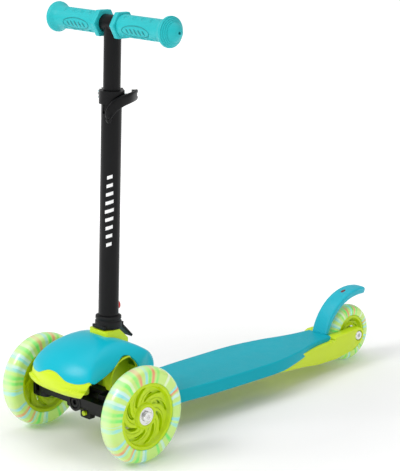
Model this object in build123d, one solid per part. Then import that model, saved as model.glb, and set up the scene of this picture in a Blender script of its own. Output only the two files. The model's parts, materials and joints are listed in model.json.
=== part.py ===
"""Child's three-wheeled kick scooter that steers by leaning.

Frame: millimetres, +Z up, the front of the scooter towards -Y, +X on the rider's left.
The origin is on the floor, in the middle of the scooter's length and width.
Inside the script y is measured from the front axle, and save() moves each piece to the origin.
"""
from build123d import *
import os
from math import cos, radians, sin, tan

os.makedirs("parts", exist_ok=True)

# ---- overall sizes -------------------------------------------------------------------
WHEELBASE = 479.0
FRONT_WHEEL_DIAMETER = 120.0
REAR_WHEEL_DIAMETER = 80.0
WHEEL_WIDTH = 24.0
HALF_TRACK = 92.6
DECK_HEIGHT = 50.0
DECK_HALF_WIDTH = 51.0
STEM_LEAN = 1.7
STEM_Y = 30.1
STEM_DATUM_Z = 150.0
LOWER_TUBE_LENGTH = 365.0
HANDLEBAR_HEIGHT = 366.0
HANDLEBAR_HALF_WIDTH = 115.0
HANDLEBAR_TRAVEL = 90.0

# ---- clearances ----------------------------------------------------------------------
RUNNING = 0.05
SLIDING = 0.08
SEAT = 0.02
GAP = 0.3
OPEN_PIVOT = 1.3

# ---- bearings, axles and wheels --------------------------------------------------------
BEARING_RADIUS = 11.0
BEARING_BORE_RADIUS = 4.0
BEARING_WIDTH = 7.0
HUB_HALF_LENGTH = 9.0
HUB_RADIUS = 15.5
FRONT_CORE_RADIUS = 41.5
REAR_CORE_RADIUS = 26.5
RIM_THICKNESS = 5.5
WEB_HALF_THICKNESS = 5.5
LED_GROOVE_HALF_WIDTH = 4.0
LED_GROOVE_DEPTH = 3.3
SPOKE_COUNT = 8
SPOKE_SWEEP = 40.0
AXLE_RADIUS = BEARING_BORE_RADIUS - RUNNING
AXLE_HEAD_RADIUS = 6.4
AXLE_HEAD_HEIGHT = 3.2
MAGNET_RADIUS = 8.0

# ---- steering ---------------------------------------------------------------------------
LEAN_AXIS_DROP = 2.0
KINGPIN_INSET = 28.6
KINGPIN_Y = -18.0
KINGPIN_RADIUS = 4.0
BEAM_HEIGHT = 11.0
BEAM_HALF_DEPTH = 8.5
LUG_THICKNESS = 5.0
KNUCKLE_WALL = 5.6
WALL_TO_TYRE = 1.0
TIE_PIN_Y = 10.0
TIE_PIN_RADIUS = 3.0
TIE_BAR_THICKNESS = 5.0
REAR_RAIL_RISE = 12.0
DRIVE_PEG_DROP = 18.0
DRIVE_PEG_RADIUS = 3.0
BARREL_RADIUS = 11.0
LEAN_BOLT_RADIUS = 4.0
BUSH_RADIUS = 8.0

# ---- nose, neck and deck --------------------------------------------------------------------
DRAWN_FRONT_RADIUS = 60.0
DRAWN_WHEELBASE = 479.0
NOSE_FLOOR_Z = 74.0
NOSE_SPLIT_Z = 95.0
NOSE_TOP_Z = 138.0
NOSE_WALL = 2.8
TRAY_REAR_Y = -15.0
NOSE_FRONT_Y = -65.0
NECK_WALL = 4.0
NECK_TOP_Z = 142.5
SPINE_HALF_WIDTH = 15.0
DECK_FRONT_Y = 98.0
DECK_REAR_GAP = 61.5
DECK_SKIRT = 15.0
DECK_PLATE = 5.0
DECK_WALL = 3.2
DECK_TAPER = 14.0
CHASSIS_DEPTH = 19.0
FORK_HALF_WIDTH = 26.0

# ---- stem ----------------------------------------------------------------------------------
LOWER_TUBE_RADIUS = 12.5
LOWER_TUBE_WALL = 1.2
TUBE_BUSH_WALL = 0.6
UPPER_TUBE_WALL = 1.2
SOCKET_DEPTH = 78.0
UPPER_TUBE_LENGTH = 336.0
SNAP_BUTTON_H = 134.0
SNAP_BUTTON_RADIUS = 3.0
RELEASE_BUTTON_H = 19.0
RELEASE_BUTTON_RADIUS = 5.5
BUTTON_TRAVEL = 2.5
COLLAR_WALL = 3.5
CLAMP_WIDTH = 16.0
CLAMP_WALL = 3.0
CLAMP_TURN = 45.4
CLAMP_SLIT = 3.0
CLAMP_BOLT_OFFSET = 7.5
CLAMP_BOLT_RADIUS = 2.5
LEVER_PIN_REACH = 12.5
LEVER_PIN_RADIUS = 2.5
LEVER_HEIGHT = 12.5

# ---- grips ------------------------------------------------------------------------------------
GRIP_THICKNESS = 2.8
GRIP_FLANGE_HEIGHT = 5.2
GRIP_HEX_WIDTH = 7.0
GRIP_END_LENGTH = 15.0

# ---- brake fender ---------------------------------------------------------------------------------
FENDER_HALF_WIDTH = 13.0
FENDER_THICKNESS = 8.0
FENDER_HINGE_GAP = 55.0
FENDER_PIN_RADIUS = 2.0
FENDER_BARREL_RADIUS = 5.0

# ---- screws and springs -------------------------------------------------------------------------
SCREW_RADIUS = 2.0
SCREW_HEAD_RADIUS = 3.8
COIL_COUNT = 6

# ---- values worked out from the sizes above -----------------------------------------------------
FRONT_RADIUS = FRONT_WHEEL_DIAMETER / 2
REAR_RADIUS = REAR_WHEEL_DIAMETER / 2
MIDDLE_Y = (WHEELBASE + REAR_RADIUS + min(-FRONT_RADIUS, NOSE_FRONT_Y)) / 2
LEAN_AXIS_Z = FRONT_RADIUS - LEAN_AXIS_DROP
BEAM_BOTTOM_Z = FRONT_RADIUS - BEAM_HEIGHT / 2 + 0.5
BEAM_TOP_Z = BEAM_BOTTOM_Z + BEAM_HEIGHT
TIE_BAR_Z = LEAN_AXIS_Z - BARREL_RADIUS - TIE_BAR_THICKNESS - 1.0
DRIVE_PEG_Z = LEAN_AXIS_Z - DRIVE_PEG_DROP
KINGPIN_X = HALF_TRACK - KINGPIN_INSET
WALL_OUTER_X = HALF_TRACK - WHEEL_WIDTH / 2 - WALL_TO_TYRE
KNUCKLE_WALL_X = WALL_OUTER_X - KNUCKLE_WALL
DECK_REAR_Y = WHEELBASE - DECK_REAR_GAP
CHASSIS_FLOOR_Z = DECK_HEIGHT - CHASSIS_DEPTH
NOSE_LIFT = FRONT_RADIUS - DRAWN_FRONT_RADIUS
NECK_HALF_WIDTH = LOWER_TUBE_RADIUS + NECK_WALL
NECK_FRONT_Y = STEM_Y - LOWER_TUBE_RADIUS - NECK_WALL - 1.6
NECK_REAR_Y = STEM_Y + LOWER_TUBE_RADIUS + NECK_WALL + 3.4
STEM = Pos(0, STEM_Y, STEM_DATUM_Z + NOSE_LIFT) * Rot(-STEM_LEAN, 0, 0)
CLAMP = STEM * Rot(0, 0, CLAMP_TURN)
CLAMP_TOP_H = LOWER_TUBE_LENGTH - SOCKET_DEPTH
CLAMP_MIDDLE_H = CLAMP_TOP_H - CLAMP_WIDTH / 2
LOWER_TUBE_BORE = LOWER_TUBE_RADIUS - LOWER_TUBE_WALL
UPPER_TUBE_RADIUS = LOWER_TUBE_BORE - TUBE_BUSH_WALL - SLIDING - SEAT
UPPER_TUBE_BORE = UPPER_TUBE_RADIUS - UPPER_TUBE_WALL
COLLAR_RADIUS = LOWER_TUBE_RADIUS + COLLAR_WALL
EAR_OUTER_X = LOWER_TUBE_RADIUS
CLAMP_BOLT_Y = LOWER_TUBE_RADIUS + CLAMP_BOLT_OFFSET
LEVER_PIN_X = EAR_OUTER_X + LEVER_PIN_REACH
CROSSBAR_RADIUS = UPPER_TUBE_RADIUS + 0.2
GRIP_RADIUS = CROSSBAR_RADIUS + GRIP_THICKNESS
GRIP_FLANGE_RADIUS = GRIP_RADIUS + GRIP_FLANGE_HEIGHT
GRIP_HEX_RADIUS = GRIP_FLANGE_RADIUS - 0.6
GRIP_START = UPPER_TUBE_RADIUS + 2.4
CROSSBAR_HALF_LENGTH = HANDLEBAR_HALF_WIDTH - GRIP_END_LENGTH
FENDER_HINGE_Y = WHEELBASE - FENDER_HINGE_GAP
FENDER_HINGE_Z = DECK_HEIGHT - 5.0


def save(name, shape):
    """Write one sub-part, moved from the front axle's y to the origin's."""
    export_step(Pos(0, -MIDDLE_Y, 0) * shape, f"parts/{name}.step")


def block(x0, x1, y0, y1, z0, z1):
    """Box between two corners."""
    return Pos((x0 + x1) / 2, (y0 + y1) / 2, (z0 + z1) / 2) * Box(x1 - x0, y1 - y0, z1 - z0)


def rod_z(radius, z0, z1, x=0.0, y=0.0):
    """Round bar along Z."""
    return Pos(x, y, (z0 + z1) / 2) * Cylinder(radius, z1 - z0)


def rod_y(radius, y0, y1, x=0.0, z=0.0):
    """Round bar along Y."""
    return Pos(x, (y0 + y1) / 2, z) * Rot(90, 0, 0) * Cylinder(radius, y1 - y0)


def rod_x(radius, x0, x1, y=0.0, z=0.0):
    """Round bar along X."""
    return Pos((x0 + x1) / 2, y, z) * Rot(0, 90, 0) * Cylinder(radius, x1 - x0)


def tube_z(outer, inner, z0, z1, x=0.0, y=0.0):
    """Round tube along Z."""
    return rod_z(outer, z0, z1, x, y) - rod_z(inner, z0 - 1, z1 + 1, x, y)


def turned(points):
    """Solid turned about Z from a closed outline of (radius, height) points."""
    outline = make_face(Polyline(*[(r, 0, h) for r, h in points], close=True))
    return revolve(outline, Axis.Z)


def prism(points, z0, z1):
    """Plate with a straight-sided plan outline."""
    outline = make_face(Polyline(*[(x, y, z0) for x, y in points], close=True))
    return extrude(outline, amount=z1 - z0, dir=(0, 0, 1))


def side_profile(points, half_width):
    """Solid with a straight-sided outline in the Y-Z plane, even about the centre line."""
    outline = make_face(Polyline(*[(-half_width, y, z) for y, z in points], close=True))
    return extrude(outline, amount=2 * half_width, dir=(1, 0, 0))


def smooth_plan(half_widths, z):
    """Face whose half width follows smooth sides through (y, half width) points."""
    right = Spline(*[(w, y, z) for y, w in half_widths])
    left = Spline(*[(-w, y, z) for y, w in half_widths])
    front = Line(left @ 0, right @ 0)
    rear = Line(left @ 1, right @ 1)
    return make_face([right, rear, left, front])


# ---- wheels: each is drawn about Z, with +Z towards the outside of the scooter -------------
def swirl_point(radius, angle, inner, outer):
    """Point on a spoke's swept line, whose angle falls as the radius grows."""
    share = (radius - inner) / (outer - inner)
    turn = radians(angle - SPOKE_SWEEP * share)
    return (radius * cos(turn), radius * sin(turn))


def spoke_window(index, inner, outer, half_thickness):
    """Swept opening between two spokes."""
    pitch = 360.0 / SPOKE_COUNT
    start = index * pitch + 9.0
    end = (index + 1) * pitch - 7.0
    radii = [inner + (outer - inner) * step / 4 for step in range(5)]
    near_side = [swirl_point(r, start, inner, outer) for r in radii]
    far_side = [swirl_point(r, end, inner, outer) for r in reversed(radii)]
    return prism(near_side + far_side, -half_thickness - 1, half_thickness + 1)


def spoke_groove(index, inner, outer, face, depth):
    """Shallow groove along the middle of a spoke, in the wheel's outer face."""
    pitch = 360.0 / SPOKE_COUNT
    middle = index * pitch + 1.0
    radii = [inner + (outer - inner) * step / 4 for step in range(5)]
    one_side = [swirl_point(r, middle - 20.0 / r, inner, outer) for r in radii]
    other_side = [swirl_point(r, middle + 100.0 / r, inner, outer) for r in reversed(radii)]
    return prism(one_side + other_side, face - depth, face + 1)


def wheel_core(core_radius):
    """Moulded wheel centre: hub, swept spokes and a rim with a groove for the light ring."""
    half_width = WHEEL_WIDTH / 2 - 1.0
    rim_inner = core_radius - RIM_THICKNESS
    core = tube_z(core_radius, rim_inner, -half_width, half_width)
    core += rod_z(rim_inner + 0.5, -WEB_HALF_THICKNESS, WEB_HALF_THICKNESS)
    core += rod_z(HUB_RADIUS, -HUB_HALF_LENGTH, HUB_HALF_LENGTH)
    window_inner = HUB_RADIUS + 1.5
    window_outer = rim_inner - 1.0
    if window_outer - window_inner > 3.0:
        for index in range(SPOKE_COUNT):
            core -= spoke_window(index, window_inner, window_outer, WEB_HALF_THICKNESS)
            core -= spoke_groove(index, window_inner + 1, window_outer, WEB_HALF_THICKNESS, 1.5)
    core -= rod_z(MAGNET_RADIUS + 1.0, -HUB_HALF_LENGTH - 1, HUB_HALF_LENGTH + 1)
    for side in (-1, 1):
        seat_middle = side * (HUB_HALF_LENGTH - BEARING_WIDTH / 2 + 0.5)
        core -= Pos(0, 0, seat_middle) * Cylinder(BEARING_RADIUS, BEARING_WIDTH + 1.0)
    groove = tube_z(core_radius + 1, core_radius - LED_GROOVE_DEPTH,
                    -LED_GROOVE_HALF_WIDTH, LED_GROOVE_HALF_WIDTH)
    return core - groove


def wheel_tyre(core_radius, wheel_radius):
    """Clear tyre with a round tread."""
    half_width = WHEEL_WIDTH / 2
    shoulder = wheel_radius - 10.0
    outline = make_face([
        Line((core_radius, 0, -half_width), (shoulder, 0, -half_width)),
        ThreePointArc((shoulder, 0, -half_width), (wheel_radius, 0, 0), (shoulder, 0, half_width)),
        Line((shoulder, 0, half_width), (core_radius, 0, half_width)),
        Line((core_radius, 0, half_width), (core_radius, 0, -half_width)),
    ])
    return revolve(outline, Axis.Z)


def light_ring(core_radius):
    """Flexible strip in the rim's groove, carrying the small lamps."""
    base = core_radius - LED_GROOVE_DEPTH
    half_width = LED_GROOVE_HALF_WIDTH - 0.3
    ring = tube_z(base + 1.2, base, -half_width, half_width)
    for index in range(12):
        lamp = Pos(base + 1.9, 0, 0) * Box(1.8, 4.0, 4.0)
        ring += Rot(0, 0, index * 30.0) * lamp
    return ring


def bearing():
    """Ball bearing drawn as one ring, with its two shields set back."""
    half_width = BEARING_WIDTH / 2
    ring = tube_z(BEARING_RADIUS, BEARING_BORE_RADIUS, -half_width, half_width)
    recess = tube_z(BEARING_RADIUS - 1.6, BEARING_BORE_RADIUS + 2.0, 0, 1)
    for side in (-1, 1):
        ring -= Pos(0, 0, side * half_width - 0.5) * recess
    return ring


def bearing_pair():
    """Both bearings of one wheel."""
    offset = HUB_HALF_LENGTH - BEARING_WIDTH / 2
    return Compound([Pos(0, 0, offset) * bearing(), Pos(0, 0, -offset) * bearing()])


def magnet_spacer():
    """Magnet sleeve on the axle, between the two bearings, that drives the lamps."""
    half_length = HUB_HALF_LENGTH - BEARING_WIDTH - 0.1
    return tube_z(MAGNET_RADIUS, BEARING_BORE_RADIUS + SEAT, -half_length, half_length)


def socket_head(radius, height):
    """Low screw head with a six-sided key socket, on the plane z = 0."""
    head = chamfer(Cylinder(radius, height).faces().sort_by(Axis.Z)[-1].edges(), 0.6)
    key = extrude(RegularPolygon(radius * 0.5, 6), amount=height)
    return Pos(0, 0, height / 2) * head - Pos(0, 0, height * 0.35) * key


def axle_bolt(head_z, tip_z):
    """Axle screw whose head seats at head_z and whose shank ends at tip_z."""
    head = Pos(0, 0, head_z) * socket_head(AXLE_HEAD_RADIUS, AXLE_HEAD_HEIGHT)
    return head + rod_z(AXLE_RADIUS, tip_z, head_z + 0.5)


def front_wheel_place(side):
    """Place of a front wheel, with its +Z pointing outwards."""
    return Pos(side * HALF_TRACK, 0, FRONT_RADIUS) * Rot(0, 90 * side, 0)


REAR_WHEEL_PLACE = Pos(0, WHEELBASE, REAR_RADIUS) * Rot(0, 90, 0)
AXLE_TIP = -(HALF_TRACK - KNUCKLE_WALL_X + 5.0)

for side_name, side in (("left", 1), ("right", -1)):
    place = front_wheel_place(side)
    save(f"{side_name}_wheel_core", place * wheel_core(FRONT_CORE_RADIUS))
    save(f"{side_name}_tyre", place * wheel_tyre(FRONT_CORE_RADIUS, FRONT_RADIUS))
    save(f"{side_name}_light_ring", place * light_ring(FRONT_CORE_RADIUS))
    save(f"{side_name}_wheel_bearings", place * bearing_pair())
    save(f"{side_name}_magnet_spacer", place * magnet_spacer())
    save(f"{side_name}_axle_bolt", place * axle_bolt(HUB_HALF_LENGTH + 0.1, AXLE_TIP))

save("rear_wheel_core", REAR_WHEEL_PLACE * wheel_core(REAR_CORE_RADIUS))
save("rear_tyre", REAR_WHEEL_PLACE * wheel_tyre(REAR_CORE_RADIUS, REAR_RADIUS))
save("rear_light_ring", REAR_WHEEL_PLACE * light_ring(REAR_CORE_RADIUS))
save("rear_wheel_bearings", REAR_WHEEL_PLACE * bearing_pair())
save("rear_magnet_spacer", REAR_WHEEL_PLACE * magnet_spacer())


# ---- steering knuckles ---------------------------------------------------------------------
LUG_TOP_Z = BEAM_TOP_Z + GAP
LUG_BOTTOM_Z = BEAM_BOTTOM_Z - GAP
STUB_END_X = HALF_TRACK - HUB_HALF_LENGTH - 0.1


def left_knuckle():
    """Carrier between the front beam and the left wheel."""
    wall = block(KNUCKLE_WALL_X, WALL_OUTER_X, KINGPIN_Y - 8, TIE_PIN_Y + 8,
                 TIE_BAR_Z + TIE_BAR_THICKNESS + GAP, LUG_TOP_Z + LUG_THICKNESS)
    wall = fillet(wall.edges().filter_by(Axis.X), 6)
    knuckle = wall
    for z0 in (LUG_BOTTOM_Z - LUG_THICKNESS, LUG_TOP_Z):
        z1 = z0 + LUG_THICKNESS
        knuckle += rod_z(BEAM_HALF_DEPTH, z0, z1, KINGPIN_X, KINGPIN_Y)
        knuckle += block(KINGPIN_X, WALL_OUTER_X - 2, KINGPIN_Y - 7, KINGPIN_Y + 8.5, z0, z1)
    arm_bottom = TIE_BAR_Z + TIE_BAR_THICKNESS + GAP
    arm_top = arm_bottom + LUG_THICKNESS
    knuckle += rod_z(TIE_PIN_RADIUS + 4.5, arm_bottom, arm_top, KINGPIN_X, TIE_PIN_Y)
    knuckle += block(KINGPIN_X, WALL_OUTER_X - 2, TIE_PIN_Y - 6, TIE_PIN_Y + 6, arm_bottom, arm_top)
    knuckle += rod_x(7.5, KNUCKLE_WALL_X - 5.5, WALL_OUTER_X, 0, FRONT_RADIUS)
    knuckle += rod_x(6.0, WALL_OUTER_X - 1, STUB_END_X, 0, FRONT_RADIUS)
    knuckle -= rod_x(AXLE_RADIUS + SEAT, HALF_TRACK + AXLE_TIP - 0.2, STUB_END_X + 1, 0, FRONT_RADIUS)
    knuckle -= rod_z(KINGPIN_RADIUS + RUNNING, 0, 2 * FRONT_RADIUS, KINGPIN_X, KINGPIN_Y)
    slot = Pos(KINGPIN_X, TIE_PIN_Y, arm_bottom - 1) * Rot(0, 0, 90) * extrude(
        SlotCenterToCenter(2 * OPEN_PIVOT, 2 * (TIE_PIN_RADIUS + GAP)), amount=LUG_THICKNESS + 2)
    return knuckle - slot


def left_kingpin():
    """Shouldered pin through the knuckle's two lugs and the beam's end."""
    bottom = LUG_BOTTOM_Z - LUG_THICKNESS
    top = LUG_TOP_Z + LUG_THICKNESS
    pin = rod_z(KINGPIN_RADIUS, bottom - 1.5, top + 1.5, KINGPIN_X, KINGPIN_Y)
    pin += rod_z(KINGPIN_RADIUS + 2, top + 0.1, top + 2.1, KINGPIN_X, KINGPIN_Y)
    return pin + rod_z(KINGPIN_RADIUS + 1.5, bottom - 1.6, bottom - 0.1, KINGPIN_X, KINGPIN_Y)


save("left_knuckle", left_knuckle())
save("right_knuckle", mirror(left_knuckle(), about=Plane.YZ))
save("left_kingpin", left_kingpin())
save("right_kingpin", mirror(left_kingpin(), about=Plane.YZ))


# ---- front beam, tie bar and lean pivot --------------------------------------------------------
BARREL_FRONT_Y = KINGPIN_Y - BEAM_HALF_DEPTH
BARREL_REAR_Y = 6.0
SPINE_FRONT_Y = BARREL_REAR_Y + 1.0


def swept_bar(end_x, end_y):
    """Plan of a cross bar whose ends are swept back round the spine."""
    reach = end_x - 12
    front = end_y - 11
    return [(-end_x, front), (-reach, front), (-34, -9), (34, -9), (reach, front), (end_x, front),
            (end_x, end_y), (reach - 6, end_y), (30, 3), (-30, 3), (6 - reach, end_y), (-end_x, end_y)]


def front_beam():
    """Cross beam and rear rail that carry both knuckles and turn about the lean bolt."""
    beam = block(-KINGPIN_X, KINGPIN_X, KINGPIN_Y - 8, KINGPIN_Y + 6, BEAM_BOTTOM_Z, BEAM_TOP_Z)
    for side in (-1, 1):
        beam += rod_z(BEAM_HALF_DEPTH, BEAM_BOTTOM_Z, BEAM_TOP_Z, side * KINGPIN_X, KINGPIN_Y)
    beam += rod_y(BARREL_RADIUS, BARREL_FRONT_Y, BARREL_REAR_Y, 0, LEAN_AXIS_Z)
    rail_z = FRONT_RADIUS + REAR_RAIL_RISE
    beam += prism(swept_bar(KINGPIN_X - 10, 16.0), rail_z, rail_z + TIE_BAR_THICKNESS)
    for side in (-1, 1):
        beam += block(side * 36 - 6, side * 36 + 6, KINGPIN_Y + 4, KINGPIN_Y + 14,
                      BEAM_BOTTOM_Z, rail_z + 1)
        hole_x = side * KINGPIN_X
        beam -= rod_z(KINGPIN_RADIUS + RUNNING, 0, 2 * FRONT_RADIUS, hole_x, KINGPIN_Y)
    return beam - rod_y(BUSH_RADIUS, BARREL_FRONT_Y - 1, BARREL_REAR_Y + 1, 0, LEAN_AXIS_Z)


def torsion_bush():
    """Rubber bush in the beam's barrel that twists and brings the deck back level."""
    bush = rod_y(BUSH_RADIUS, BARREL_FRONT_Y + 5, BARREL_REAR_Y, 0, LEAN_AXIS_Z)
    return bush - rod_y(LEAN_BOLT_RADIUS + RUNNING, -60, 60, 0, LEAN_AXIS_Z)


def lean_bolt():
    """Bolt from the front of the barrel into the chassis, about which the deck leans."""
    head = Pos(0, BARREL_FRONT_Y + 4.6, LEAN_AXIS_Z) * Rot(90, 0, 0) * socket_head(7.0, 4.2)
    return head + rod_y(LEAN_BOLT_RADIUS, BARREL_FRONT_Y + 4.3, SPINE_FRONT_Y + 22, 0, LEAN_AXIS_Z)


TAB_FRONT_Y = KINGPIN_Y + 9.0


def tie_bar():
    """Bar under the beam that turns both knuckles as the deck leans."""
    top = TIE_BAR_Z + TIE_BAR_THICKNESS
    bar = prism(swept_bar(KINGPIN_X, TIE_PIN_Y + 5.5), TIE_BAR_Z, top)
    for side in (-1, 1):
        bar += rod_z(5.5, TIE_BAR_Z, top, side * KINGPIN_X, TIE_PIN_Y)
        bar -= rod_z(TIE_PIN_RADIUS + SEAT, TIE_BAR_Z - 1, top + 1, side * KINGPIN_X, TIE_PIN_Y)
    boss = block(-9, 9, TAB_FRONT_Y, TAB_FRONT_Y + 8, DRIVE_PEG_Z - DRIVE_PEG_RADIUS - 3.8, top)
    boss = fillet(boss.edges().filter_by(Axis.Y), 2)
    slot = Pos(0, TAB_FRONT_Y + 14, DRIVE_PEG_Z) * Rot(90, 0, 0) * Rot(0, 0, 90) * extrude(
        SlotCenterToCenter(2, 2 * (DRIVE_PEG_RADIUS + GAP)), amount=20)
    return bar + boss - slot


def tie_pins():
    """The two pins that the tie bar turns the knuckles with."""
    pins = []
    for side in (-1, 1):
        x = side * KINGPIN_X
        top = TIE_BAR_Z + TIE_BAR_THICKNESS + 2 * GAP + LUG_THICKNESS
        pin = rod_z(TIE_PIN_RADIUS, TIE_BAR_Z - 0.5, top + 1, x, TIE_PIN_Y)
        pin += rod_z(TIE_PIN_RADIUS + 1.5, TIE_BAR_Z - 1.5, TIE_BAR_Z - 0.05, x, TIE_PIN_Y)
        pins.append(pin + rod_z(TIE_PIN_RADIUS + 1.2, top, top + 1.5, x, TIE_PIN_Y))
    return Compound(pins)


save("front_beam", front_beam())
save("torsion_bush", torsion_bush())
save("lean_bolt", lean_bolt())
save("tie_bar", tie_bar())
save("tie_pins", tie_pins())


# ---- nose: a lower tray and a domed cover, both shells of one smooth body ------------------------
NOSE_SECTIONS = (
    # height, half width, front y, rear y, corner radius
    (NOSE_FLOOR_Z, 34.0, -44.0, 66.0, 26.0),
    (84.0, 52.0, -58.0, 76.0, 34.0),
    (NOSE_SPLIT_Z, 60.0, NOSE_FRONT_Y, 82.0, 40.0),
    (110.0, 57.0, -61.0, 76.0, 40.0),
    (124.0, 46.0, -46.0, 55.0, 34.0),
    (133.0, 32.0, -28.0, 34.0, 24.0),
    (NOSE_TOP_Z, 18.0, -12.0, 14.0, 11.0),
)


def nose_body(inset):
    """Smooth body through the nose's level sections, drawn in by an even inset."""
    sections = []
    for height, half_width, front, rear, corner in NOSE_SECTIONS:
        width = 2 * (half_width - inset)
        length = rear - front - 2 * inset
        level = NOSE_LIFT + height
        if height == NOSE_FLOOR_Z:
            level += inset
        if height == NOSE_TOP_Z:
            level -= inset
        outline = RectangleRounded(width, length, corner - inset * 0.6)
        sections.append(Pos(0, (front + rear) / 2, level) * outline)
    return loft(sections)


def neck_keepout(margin):
    """Room that the neck and the stem collar's foot need, with a margin."""
    neck = block(-NECK_HALF_WIDTH - margin, NECK_HALF_WIDTH + margin, NECK_FRONT_Y - margin,
                 NECK_REAR_Y + margin, NOSE_LIFT + 60, NOSE_LIFT + 160)
    foot = block(-12, 12, NECK_FRONT_Y - 4.5, NECK_FRONT_Y, NOSE_LIFT + 100, NOSE_LIFT + 160)
    foot += block(-8 - margin, 8 + margin, NECK_REAR_Y - 1, NECK_REAR_Y + 16, NOSE_LIFT + 106, NOSE_LIFT + 160)
    return neck + foot


def wheel_arch(side):
    """Room beside the nose for a knuckle and a wheel as the scooter leans."""
    arch = rod_x(27.0, 40.0, 90.0, 16.0, NOSE_LIFT + 92.0)
    room = arch + block(40.0, 90.0, -11.0, 43.0, NOSE_LIFT + 60.0, NOSE_LIFT + 92.0)
    return room if side > 0 else mirror(room, about=Plane.YZ)


RISER_HALF_WIDTH = 34.0
RISER_TOP_Z = NOSE_LIFT + NOSE_SPLIT_Z - GAP


def riser(margin):
    """Ramp of the chassis from the deck up into the nose."""
    ramp = side_profile([(48 - margin, CHASSIS_FLOOR_Z), (DECK_FRONT_Y - 0.5, CHASSIS_FLOOR_Z),
                         (DECK_FRONT_Y - 0.5, DECK_HEIGHT), (80 + margin, RISER_TOP_Z),
                         (48 - margin, RISER_TOP_Z)], RISER_HALF_WIDTH + margin)
    return ramp


split_z = NOSE_LIFT + NOSE_SPLIT_Z
whole_nose = nose_body(0.0)
nose_hollow = nose_body(NOSE_WALL)
below_split = block(-200, 200, -200, 200, 0, split_z)
above_split = block(-200, 200, -200, 200, split_z + 0.05, 400)
outside_room = neck_keepout(GAP) + riser(GAP) + wheel_arch(1) + wheel_arch(-1)

behind_tray = block(-200, 200, TRAY_REAR_Y, 200, 0, split_z + 1)
tray = (whole_nose & below_split) - nose_hollow - outside_room - behind_tray
STOP_PEG_Z = BEAM_TOP_Z + 4.0
for side in (-1, 1):
    tray += rod_z(5.0, STOP_PEG_Z, NOSE_LIFT + NOSE_FLOOR_Z + 1, side * 12, KINGPIN_Y - 2)
drive_peg = rod_y(DRIVE_PEG_RADIUS, TAB_FRONT_Y - 3, SPINE_FRONT_Y + 1, 0, DRIVE_PEG_Z)
save("nose_tray", tray)
save("nose_cover", (whole_nose & above_split) - nose_hollow - outside_room)


# ---- chassis: neck, spine, ramp, deck beam and rear fork in one moulding ------------------------------
FORK_HALF_WIDTHS = [(285.0, 43.0), (340.0, 38.0), (385.0, 32.5), (430.0, 28.5), (492.0, 26.0)]


def along(y):
    """Shift a y drawn for the first wheelbase to the wheelbase that is set."""
    return y * WHEELBASE / DRAWN_WHEELBASE


def deck_outline(z, inset):
    """Plan of the deck cap at a height: its skirts flare below the top edge."""
    ridge = DECK_HALF_WIDTH - (z - DECK_HEIGHT + DECK_SKIRT) * tan(radians(DECK_TAPER))
    half_widths = [
        (DECK_FRONT_Y + inset, 0.88 * ridge - inset),
        (along(165.0), 0.97 * ridge - inset),
        (along(235.0), ridge - inset),
        (along(290.0), 0.97 * ridge - inset),
        (along(345.0), 0.76 * ridge - inset),
        (along(385.0), 0.54 * ridge - inset),
        (DECK_REAR_Y - inset, 0.42 * ridge - inset),
    ]
    return smooth_plan(half_widths, z)


def fork():
    """Waist and the two arms that hold the rear axle."""
    plan = [(along(y), w) for y, w in FORK_HALF_WIDTHS]
    body = extrude(smooth_plan(plan, 0), amount=90, dir=(0, 0, 1))
    end_y = WHEELBASE + 10
    side = side_profile([
        (along(285.0), CHASSIS_FLOOR_Z + 1), (along(350.0), 25.0), (along(388.0), 19.0),
        (along(428.0), 17.0), (WHEELBASE - 14, 21.0), (WHEELBASE + 3, REAR_RADIUS - 11),
        (end_y, REAR_RADIUS - 4), (end_y, REAR_RADIUS + 5), (WHEELBASE + 3, REAR_RADIUS + 11),
        (WHEELBASE - 30, REAR_RADIUS + 9.5), (FENDER_HINGE_Y + 7, DECK_HEIGHT - 1),
        (FENDER_HINGE_Y - 6, DECK_HEIGHT - 6.2), (along(285.0), DECK_HEIGHT - 6.2)], 80)
    body = body & side
    slot_half = WHEEL_WIDTH / 2 + 1.2
    slot_front = WHEELBASE - REAR_RADIUS - 4.5
    body -= block(-slot_half, slot_half, slot_front, WHEELBASE + 40, 0, 120)
    for hand in (-1, 1):
        x0 = hand * (HUB_HALF_LENGTH + 0.1)
        x1 = hand * (slot_half + 0.5)
        body += rod_x(6.0, min(x0, x1), max(x0, x1), WHEELBASE, REAR_RADIUS)
        head_x = hand * (FORK_HALF_WIDTH - AXLE_HEAD_HEIGHT)
        far_x = hand * (FORK_HALF_WIDTH + 10)
        body -= rod_x(AXLE_HEAD_RADIUS + 1.2, min(head_x, far_x), max(head_x, far_x),
                      WHEELBASE, REAR_RADIUS)
    body -= rod_x(AXLE_RADIUS + SEAT, -60, 60, WHEELBASE, REAR_RADIUS)
    return body


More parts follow.
